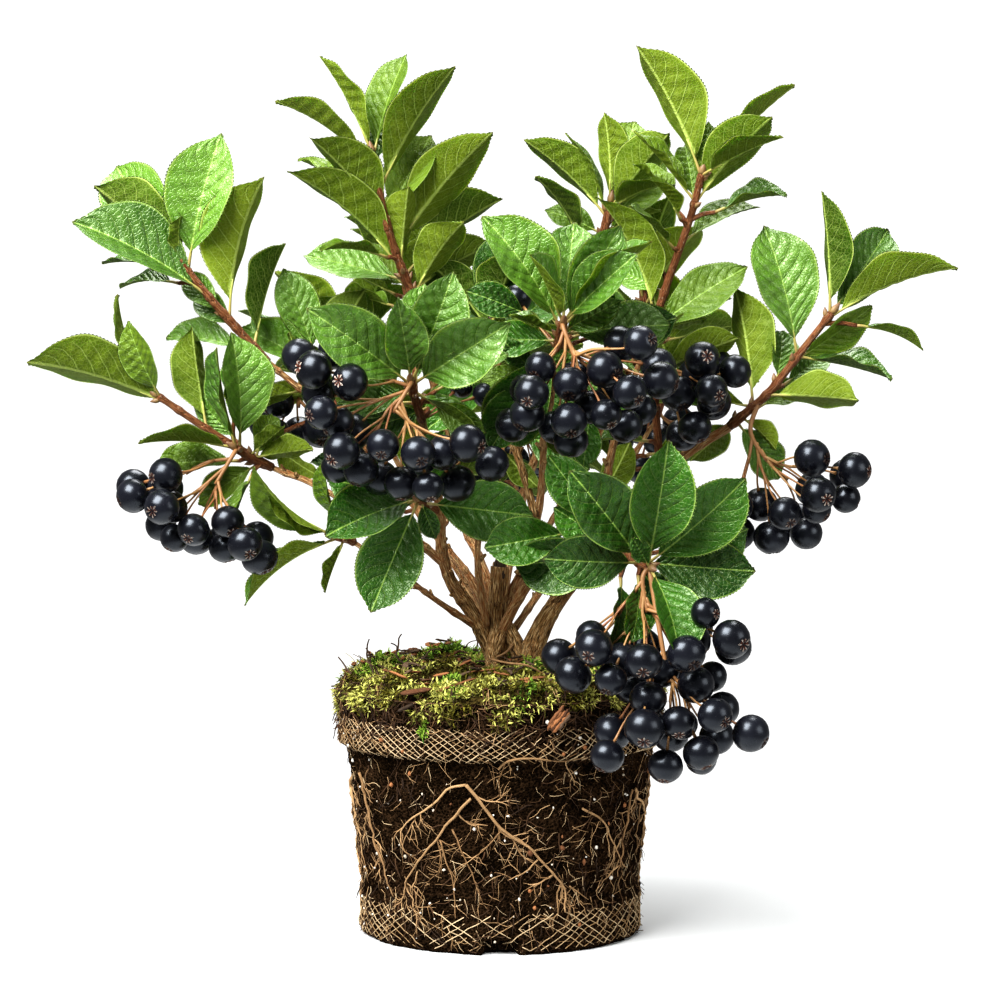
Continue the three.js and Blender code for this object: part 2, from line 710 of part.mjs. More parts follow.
const fatStems = SHOOTS.map((shoot) => stemSolid(shoot, GAP));
const masses = [];
SHOOTS.forEach((shoot, i) => {
  const earlier = [...fatLimbs, ...fatStems.slice(0, i)];
  const stem = largestBody(earlier.reduce((solid, near) => solid.subtract(near), stemSolid(shoot)));
  const neighbours = [...earlier, ...fatStems.slice(i + 1), ...masses];
  masses.push(shootSolid(shoot, i + 1, stem, neighbours));
  group.add(named(shoot.name, masses.at(-1), material.foliage));
});

export default group;
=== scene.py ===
"""The looks of a young black chokeberry on its root ball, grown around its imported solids.

Places and sizes are in millimetres, in the frame of the part's source, and become metres when a
piece is made.
"""
import math

import bpy
import mathutils
import numpy as np
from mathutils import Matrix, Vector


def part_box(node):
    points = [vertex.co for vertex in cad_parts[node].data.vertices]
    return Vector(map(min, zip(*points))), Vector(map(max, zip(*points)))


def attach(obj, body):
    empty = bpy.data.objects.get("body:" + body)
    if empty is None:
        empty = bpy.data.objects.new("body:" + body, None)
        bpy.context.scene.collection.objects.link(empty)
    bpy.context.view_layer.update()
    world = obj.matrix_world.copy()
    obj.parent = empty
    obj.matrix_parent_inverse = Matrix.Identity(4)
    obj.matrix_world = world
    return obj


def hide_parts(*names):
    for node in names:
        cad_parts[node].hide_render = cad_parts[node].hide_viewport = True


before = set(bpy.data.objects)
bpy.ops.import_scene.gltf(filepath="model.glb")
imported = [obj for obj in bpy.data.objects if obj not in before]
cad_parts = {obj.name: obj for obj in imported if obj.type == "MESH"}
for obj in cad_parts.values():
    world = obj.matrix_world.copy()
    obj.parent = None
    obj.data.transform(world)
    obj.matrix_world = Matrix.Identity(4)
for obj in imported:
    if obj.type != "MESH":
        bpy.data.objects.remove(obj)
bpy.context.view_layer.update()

MM = 0.001
WORD = 0xFFFFFFFF
TO_FRONT = np.array([0.0, -1.0, 0.0])
TO_BACK = np.array([0.0, 1.0, 0.0])

# Camera, at the height and distance fitted to the photograph, and the picture's side in pixels
CAMERA_PLACE = (0, -1287, 257)
CAMERA_PITCH = 2.8
CAMERA_LENS = 103
SENSOR_WIDTH = 36
PICTURE_SIDE = 1000

# Seeds of the random rows. The first four are added to the number of a mass or a bunch.
SEEDS = {
    "rolled leaves": 200, "bunch": 50, "fine twigs": 100, "between": 300, "leafy boughs": 91,
    "front roots": 21, "back roots": 33, "tufts": 41, "hanging moss": 43, "litter": 71,
}

# Relief: how a knot's number is scrambled, by its place, its seed and once more
KNOT_WEIGHTS = np.array([73856093, 19349663, 83492791])
SEED_WEIGHT = 2654435761
LAST_WEIGHT = 1274126177

# Root ball, as in the part's source: radius at each height, and the notches in its foot
BALL_HEIGHTS = [0, 2, 20, 21, 84, 86.5, 109.5, 112]
BALL_RADII = [61.5, 63, 63, 62, 68.5, 72.5, 72.5, 70]
BALL_TOP = 112
FOOT_NOTCH = {"count": 3, "width": 16, "height": 6, "depth": 7}
BALL_COLUMNS = 372
BALL_ROW = 0.96
BALL_CAP_ROWS = 20

# Relief of the ball's side: height, size and seed of each row of lumps
BALL_RELIEF = [(0.7, 9, 3), (0.7, 3.4, 7), (0.45, 1.6, 8)]

# Moss, as in the part's source: its height at shares of its radius
MOSS_RADIUS = 70.5
MOSS_SHARES = [0, 0.35, 0.6, 0.84, 1, 1.04]
MOSS_HEIGHTS = [7.5, 7.5, 7.5, 6, 2.5, -2]
MOSS_LUMP = 2.2

# Leaf blade, as shares of the leaf's whole length, stalk included
LEAF_STALK = 0.13
LEAF_HALF_WIDTH = 0.24
LEAF_ARCH = 0.055
LEAF_BROAD = {"leaf_fresh": 0.1, "leaf_green": 0.45, "leaf_dark": 1}
LEAF_TAPERS = (0.96, 0.76)
LEAF_WIDTHS = (0.88, 1.04)
LEAF_FOLD = 0.55
FOLD_ROUND = 1.2
LEAF_QUILT = 0.42
LEAF_ROLL = (8, 30)
LEAF_ROLL_UNDER = (36, 66)
LEAF_THICK = 0.34
LEAF_VEINS = 8
LEAF_ROWS = 36
LAST_LEAF_ROW = 0.985
LEAF_COLUMNS = np.array([-1, -0.74, -0.44, -0.12, 0, 0.12, 0.44, 0.74, 1])
VEIN_SWEEP = (0.3, 1.25)
TOOTH = 0.62

# How leaves differ from one another, twist in degrees, the others as shares but for the phase
LEAF_PLAY = {
    "taper": (0.92, 1.08), "fold": (0.5, 1.45), "arch": (0.4, 1.7), "twist": (-20, 20),
    "wave": (0.2, 1.0), "phase": (0, math.tau), "width": (0.93, 1.07), "tone": (0, 1),
}

# Leaves by the spiral rule of the source
SPIRAL_TURN = 144
SPIRAL_PLAY = 40
SPIRAL_OPEN = (74, 40)
SPIRAL_SHARES = (0.3, 0.98)
SPIRAL_LENGTHS = (40, 54)
LEAF_SHIFTS = (0, 7, -7, 14, -14, 21, -21, 30, -30)
TIP_MATCH = 0.1

# Fruit, by the rule of the source
BERRY_RADIUS = 7.9
BERRY_SPREAD = 0.5
BERRY_CORNERS_OUT = 1.07
BERRY_SPACING = 1.02
BERRY_TRIES = 60
BERRIES_PER_BRANCH = 4
BRANCH_REACH = 0.55
BRANCH_STEP = 0.2
AXIS_LENGTH = 15
BUNCH_ROOT = 0.97
LAST_STALK = 0.97
CORNER_MATCH = 0.06
CORNERS_SEEN = 5

# One berry, as shares of its radius, and the radii of its stalk
BERRY_SIDES = 18
BERRY_FLAT = 0.95
SEPALS = 5
CROWN_FLECKS = 8
BERRY_STALK = np.array([0.72, 0.52, 0.47, 0.46, 0.46, 0.48, 0.58, 0.9])

# What is added here to the source's fruit and leaves
EXTRA_BERRIES = 0.35
EXTRA_TRIES = 500
EXTRA_SPACING = 0.99
EXTRA_SMALLER = (0.1, 1.3)
LEAF_CLEARANCE = 2.5
FINE_TRIES = 14
FINE_LENGTHS = (26, 42)
FINE_GAP = 8
FINE_FORWARD = 14
BUD_SHAPE = np.array([0.8, 1.0, 1.05, 0.95, 0.7, 0.4, 0.08])
GREEN_PLAY = 0.4
SHOWN_LEAN = 7
LEAF_FINISHES = ["leaf_fresh", "leaf_green", "leaf_dark", "underside_pale", "underside_green", "leaf_stalk"]
MOSS_FINISHES = ["moss_yellow", "moss_green", "moss_olive"]
ROOT_FINISHES = ["root_tan", "root_cream", "root_brown"]

# Bark
BARK_RING = 1.0
BOUGH_FLARE = 0.3
LIMB_SLIM = 0.7
LIMB_SIDES = {"trunk": 48}
KNOT_EVERY = 17
SPUR_EVERY = 22
SPUR_SHAPE = np.array([1.5, 1.15, 1, 0.95, 0.85, 0.5])
SLIVERS = 11
CUT_STUBS = [
    ((24, -4, 148), (30, -12, 156), 1.9),
    ((8, 3, 160), (16, 2, 171), 1.7),
    ((16, 0, 186), (4, 2, 226), 1.7),
]

# Roots on the front of the ball: radius, and places across and up
FRONT_ROOTS = [
    (0.85, [(-14, 75), (-8, 68), (0, 57), (14, 46), (22, 36), (28, 28), (28, 18)]),
    (0.6, [(-14, 75), (-21, 73), (-29, 65), (-36, 60), (-42, 53), (-42, 46)]),
    (0.7, [(-12, 69), (-19, 61), (-27, 51), (-33, 43), (-40, 31), (-41, 22)]),
    (0.4, [(-36, 35), (-38, 24)]),
    (0.45, [(-20, 55), (-16, 46), (-13, 38), (-8, 23)]),
    (0.45, [(-26, 50), (-23, 41), (-20, 28), (-19, 16)]),
    (0.7, [(-61, 75), (-58, 61), (-55, 46), (-50, 33), (-46, 22)]),
    (0.55, [(36, 63), (46, 55), (50, 42), (55, 33)]),
    (0.65, [(58, 68), (54, 50), (51, 30)]),
    (0.4, [(1, 55), (-3, 50), (-13, 41)]),
    (0.6, [(0, 82), (4, 86), (14, 87), (26, 85), (36, 86)]),
    (0.4, [(30, 29), (38, 22)]),
]
ROOT_STEP = 2.2
ROOT_DRIFT = 13
THINNEST_ROOT = 0.22

# Nets of roots in the two bands: from and to what height, distance between strands, slope and seed
ROOT_NETS = [(84.5, 99, 4.1, 1.55, 1), (2, 18, 5.3, 1.6, 2)]
NET_KNOTS = 9

# Short roots: how many, finish, lengths, radii, heights, headings, seed, and how far off the ball
ROOTLETS = [
    (560, "root_cream", (2, 6), (0.11, 0.18), (4, 84), (-180, 180), 5, 1.5),
    (280, "root_tan", (5, 17), (0.1, 0.2), (3, 92), (-80, 80), 6, 1.5),
]
MAT_ROOTLETS = [
    (900, "root_brown", (4, 14), (0.16, 0.34), (2, 110), (-60, 60), 7, 2.5),
    (640, "root_brown", (4, 14), (0.2, 0.4), (94, 111), (-180, 180), 8, 3.5),
    (200, "root_tan", (4, 12), (0.14, 0.24), (86, 111), (-180, 180), 9, 3.5),
    (420, "root_brown", (4, 12), (0.16, 0.34), (108, 117), (-180, 180), 12, 3.5),
    (130, "root_tan", (3, 10), (0.12, 0.22), (107, 117), (-180, 180), 13, 3.5),
]
ROOTLET_DRIFT = 18

# Grains in the ball's side: how many, radii, finish, seed and heights
GRAINS = [(170, (0.3, 0.8), "perlite", 10, (3, 104)), (40, (0.7, 1.5), "chip_wood", 11, (10, 100))]

# Moss. A bare place: across, back and radius.
CLUMP_TRIES = 620
BARE_PLACES = [
    (-15, -17, 9), (3, -13, 8), (-26, -40, 5), (24, -60, 6), (40, 10, 7), (-40, 30, 8), (10, 40, 8),
]
TUFTS_THICK = 0.85
TUFT_BLADES = 6
EDGE_CLUMPS = 105
STOOL_BLADES = 900
# Painted shade of the stool: moss in front of its foot is made darker, by this much, round this place and
# within this reach.
STOOL_SHADE = 0.9
SHADE_PLACE = (-3, -24)
SHADE_REACH = 15

# Litter. A chip: place across and back, length, width, heading and tilt in degrees.
LOOSE_CHIPS = 240
CHIPS = [
    (-20, -57, 22, 3.2, 12, 17), (-36, -62, 14, 5, 8, 8), (-28, -46, 14, 3, 24, 8),
    (-26, -14, 20, 3.5, 26, 22), (8, -56, 9, 3, -30, 12), (14, -50, 12, 2.4, 10, 4),
    (-44, -52, 10, 3.5, 140, 14), (-8, -36, 13, 3, -12, 8), (-52, -20, 8, 4, 40, 30),
    (52, -30, 9, 4, -20, 10), (10, 40, 12, 5, 80, 10), (-30, 44, 11, 5, 150, 12), (44, 30, 12, 5, 20, 8),
]

# Twiglets: place across and back, length, heading and rise in degrees. Then the loose ones' finishes.
TWIGLETS = [
    (-56, -20, 17, 100, 58), (-40, -10, 18, 160, 48), (-40, -4, 20, 10, 38), (-64, -14, 14, 150, 50),
    (-60, -4, 16, 80, 62), (-48, 6, 15, 40, 55), (-52, -30, 12, 200, 40), (44, -20, 13, 60, 50),
    (62, -24, 12, 30, 30), (54, -8, 14, 20, 40), (30, 20, 16, 60, 45), (-10, 50, 15, 90, 40),
]
LOOSE_TWIGLETS = 170
LOOSE_KINDS = [("dead_twig", 0.35), ("straw", 0.22), ("root_tan", 0.25)]
LOOPED_ROOT = [
    (1, 0, 131), (5.5, -6.5, 129.5), (3, -10.5, 126.5), (-2.5, -13.5, 124), (-4.5, -20, 124.5),
    (-3, -31, 125), (4, -40, 124.5), (12, -45, 124), (21, -43, 119),
]

# The chip of split wood that stands in the upper band at the front right, made of slivers side by side
SPLIT_CHIP = {"place": (25, -73.2, 103.5), "step": (0.72, 0.05, -0.5), "way": (0.6, -0.1, 0.75), "slivers": 6}

# Bark of the stool that runs out over the soil: its line, its radii and its rings
STOOL_FEET = [
    ([(-1, -3, 134), (-3, -8, 128), (-4, -13, 123), (-2, -20, 120), (3, -28, 117)], (4.2, 1.4), 44),
    ([(3, -1, 138), (7, -4, 130), (10, -7, 121), (12, -10, 112)], (2.6, 5.4), 26),
]

# Leaves on the boughs that lean back: how many, where, how long, and clear of what is there by how much
LEAFY_BOUGHS = {
    "bough_back_top": 7, "bough_back_left": 6, "bough_back_right": 6, "bough_back_high_left": 7,
    "bough_back_high_right": 7, "bough_back_middle": 6, "bough_tall_left": 3, "bough_left_high": 2,
}
LEAFY_SHARES = (0.34, 0.94)
LEAFY_LENGTHS = (28, 44)
LEAFY_GREENS = (0.3, 1.6)
LEAFY_GAP = 5.5
LEAFY_DEPTH = 14
LEAFY_LOWEST = 176

# Floor and light, in metres
FLOOR_RADIUS = 6.0
FLOOR_SIDES = 96
FLOOR_FADE = (0.12, 0.5)
FLOOR_GLOW = 0.3
ROOM_LIGHT = 0.2
LIGHTS = [
    ("key_soft_box", (-0.62, -0.72, 1.15), (0, 0, 0.22), 0.95, 61),
    ("fill_soft_box", (1.1, -0.7, 0.55), (0, 0, 0.2), 0.7, 6),
    ("top_soft_box", (0.1, 0.5, 1.2), (0, 0, 0.25), 0.8, 19),
]

# Leaf sides: dark and light green, veins, roughness, how far the veins are raised, how much of their
# colour shows, gloss and swell
UPPER_VEINS = (0.26, 0.4, 0.08)
UNDER_VEINS = (0.42, 0.53, 0.13)
LEAF_SIDES = [
    ("leaf_fresh", (0.04, 0.085, 0.004), (0.112, 0.178, 0.012), UPPER_VEINS, 0.32, -0.8, 0.35, 0.5, 0.6),
    ("leaf_green", (0.022, 0.075, 0.003), (0.096, 0.21, 0.018), UPPER_VEINS, 0.3, -0.9, 0.25, 1.0, 1.1),
    ("leaf_dark", (0.005, 0.035, 0.0025), (0.026, 0.102, 0.005), UPPER_VEINS, 0.26, -0.9, 0.2, 0.6, 1.0),
    ("underside_pale", (0.045, 0.085, 0.003), (0.135, 0.188, 0.012), UNDER_VEINS, 0.5, 0.7, 0.45, 0.18, 0.45),
    ("underside_green", (0.028, 0.062, 0.003), (0.09, 0.142, 0.012), UNDER_VEINS, 0.5, 0.7, 0.35, 0.18, 0.45),
]
LEAF_TIP = (0.1, 0.06, 0.02)

# Stalks: young and old. Bark: ridges, body, furrows, young skin and fineness. Wood: pale, dark, fineness.
STALKS = [
    ("leaf_stalk", (0.36, 0.42, 0.08), (0.3, 0.17, 0.07)),
    ("fruit_stalk", (0.37, 0.21, 0.075), (0.23, 0.08, 0.032)),
    ("bud", (0.3, 0.2, 0.07), (0.13, 0.05, 0.03)),
]
BARKS = [
    ("old_bark", (0.75, 0.52, 0.25), (0.37, 0.2, 0.07), (0.022, 0.012, 0.004), (0.36, 0.14, 0.045), 1.5),
    ("twig_bark", (0.34, 0.16, 0.065), (0.2, 0.075, 0.028), (0.08, 0.03, 0.014), (0.2, 0.062, 0.022), 1.6),
]
LENTICELS = (0.42, 0.33, 0.22)
WOODS = [
    ("cut_wood", (0.3, 0.22, 0.14), (0.12, 0.085, 0.06), 1.0),
    ("root_tan", (0.5, 0.32, 0.16), (0.16, 0.085, 0.034), 1.6),
    ("root_cream", (0.6, 0.46, 0.28), (0.26, 0.155, 0.065), 1.6),
    ("root_brown", (0.08, 0.04, 0.017), (0.016, 0.008, 0.004), 1.6),
    ("chip_wood", (0.33, 0.14, 0.055), (0.05, 0.02, 0.009), 1.3),
    ("dead_twig", (0.12, 0.075, 0.045), (0.035, 0.022, 0.014), 1.3),
    ("straw", (0.5, 0.42, 0.14), (0.26, 0.2, 0.07), 1.3),
]

# Earth: dark, light, flecks and depth of the crumbs. Small things: two colours, roughness and fineness.
EARTHS = [
    ("potting_soil", (0.005, 0.003, 0.0015), (0.036, 0.02, 0.01), (0.24, 0.15, 0.08), 1.8),
    ("moss_felt", (0.01, 0.008, 0.003), (0.07, 0.05, 0.015), (0.2, 0.2, 0.03), 1.2),
]
SMALL_THINGS = [
    ("calyx", (0.09, 0.028, 0.015), (0.015, 0.006, 0.005), 0.6, 500),
    ("calyx_pale", (0.5, 0.43, 0.37), (0.1, 0.07, 0.055), 0.6, 500),
    ("moss_yellow", (0.67, 0.66, 0.17), (0.085, 0.09, 0.014), 0.7, 120),
    ("moss_green", (0.32, 0.5, 0.06), (0.02, 0.06, 0.005), 0.7, 120),
    ("moss_olive", (0.16, 0.14, 0.015), (0.035, 0.03, 0.004), 0.8, 120),
    ("perlite", (0.75, 0.72, 0.66), (0.5, 0.43, 0.33), 0.8, 300),
]
BERRY_SKIN = ((0.0008, 0.0008, 0.0014), (0.008, 0.0085, 0.013))
BERRY_DOTS = (0.12, 0.11, 0.12)

# The stool, from the flat cut at the soil to the sawn stub in its fork
TRUNK = {
    "name": "trunk", "radii": (6.2, 4.1), "flare": 3.4, "slim": 0.95,
    "path": [(0, 0, 112.3), (-1, 0, 131), (-1, 0, 149), (0, 0, 164)],
}

# Boughs, each from its foot to where it enters its leaves
BOUGHS = [
    {
        "name": "bough_right_main", "radii": (4.6, 1.9), "flare": 3.2, "slim": 0.92,
        "path": [
            (9, -7, 112.3), (20, -5, 139), (32, 0, 157), (45, 4, 176), (63, 5, 198), (86, 3, 216),
            (103, 0, 227),
        ],
    },
    {
        "name": "bough_left_main", "radii": (4.3, 1.8), "slim": 0.84,
        "path": [
            (-3, -1, 124), (-13, -4, 144), (-22, -6, 158), (-26, -8, 172), (-27, -14, 190),
            (-29, -28, 212), (-34, -44, 231),
        ],
    },
    {
        "name": "bough_centre_right", "radii": (3.4, 1.8),
        "path": [(0, 1, 140), (12, 6, 167), (18, 0, 194), (20, -16, 226), (24, -36, 252), (25, -44, 261)],
    },
    {
        "name": "bough_tall_left", "radii": (3.2, 1.8),
        "path": [
            (-1, 2, 142), (-9, 16, 166), (-16, 24, 181), (-24, 26, 220), (-32, 20, 257), (-38, 12, 282),
        ],
    },
    {
        "name": "bough_left_high", "radii": (3.1, 1.8),
        "path": [
            (-2, 2, 138), (-14, 12, 158), (-25, 16, 172), (-48, 14, 202), (-72, 6, 230), (-90, 0, 244),
            (-104, -4, 256),
        ],
    },
    {
        "name": "bough_front_right", "radii": (3.3, 1.9),
        "path": [
            (0, -2, 134), (13, -14, 158), (26, -28, 173), (38, -44, 182), (46, -58, 181), (52, -68, 176),
        ],
    },
    {
        "name": "bough_left_low", "radii": (2.7, 1.8),
        "path": [(-24, -7, 165), (-38, -10, 177), (-60, -14, 189), (-84, -12, 202), (-102, -8, 209)],
    },
    {
        "name": "bough_left_thin", "radii": (2.2, 1.6),
        "path": [(-9, -3, 136), (-30, -14, 151), (-44, -18, 162), (-65, -16, 176)],
    },
    {
        "name": "bough_centre_thin", "radii": (2.2, 1.6),
        "path": [
            (-6, -4, 138), (-10, -14, 168), (-8, -14, 186), (-1, -6, 204), (1, 4, 225), (0, 10, 240),
        ],
    },
    {
        "name": "bough_tall_right", "radii": (2.7, 1.8),
        "path": [(44, 5, 173), (48, 12, 198), (51, 16, 216), (60, 16, 246), (67, 12, 264)],
    },
    {
        "name": "bough_back_top", "radii": (3.1, 1.8),
        "path": [(0, 3, 140), (10, 30, 193), (26, 46, 238), (40, 50, 285), (47, 46, 312)],
    },
    {
        "name": "bough_back_left", "radii": (3, 1.8), "slim": 0.56,
        "path": [(-3, 3, 134), (-24, 32, 168), (-46, 62, 204), (-62, 84, 236)],
    },
    {
        "name": "bough_back_right", "radii": (3, 1.8), "slim": 0.56,
        "path": [(4, 3, 132), (28, 34, 164), (54, 62, 198), (74, 78, 228)],
    },
    {
        "name": "bough_back_high_left", "radii": (2.8, 1.8), "slim": 0.56,
        "path": [(-2, 4, 138), (-16, 36, 190), (-32, 58, 246), (-40, 66, 276)],
    },
    {
        "name": "bough_back_high_right", "radii": (2.8, 1.8), "slim": 0.56,
        "path": [(2, 4, 142), (26, 44, 186), (56, 64, 240), (66, 70, 266)],
    },
    {
        "name": "bough_back_middle", "radii": (2.8, 1.8), "slim": 0.56,
        "path": [(0, 4, 130), (4, 40, 168), (8, 72, 200), (10, 98, 226)],
    },
]

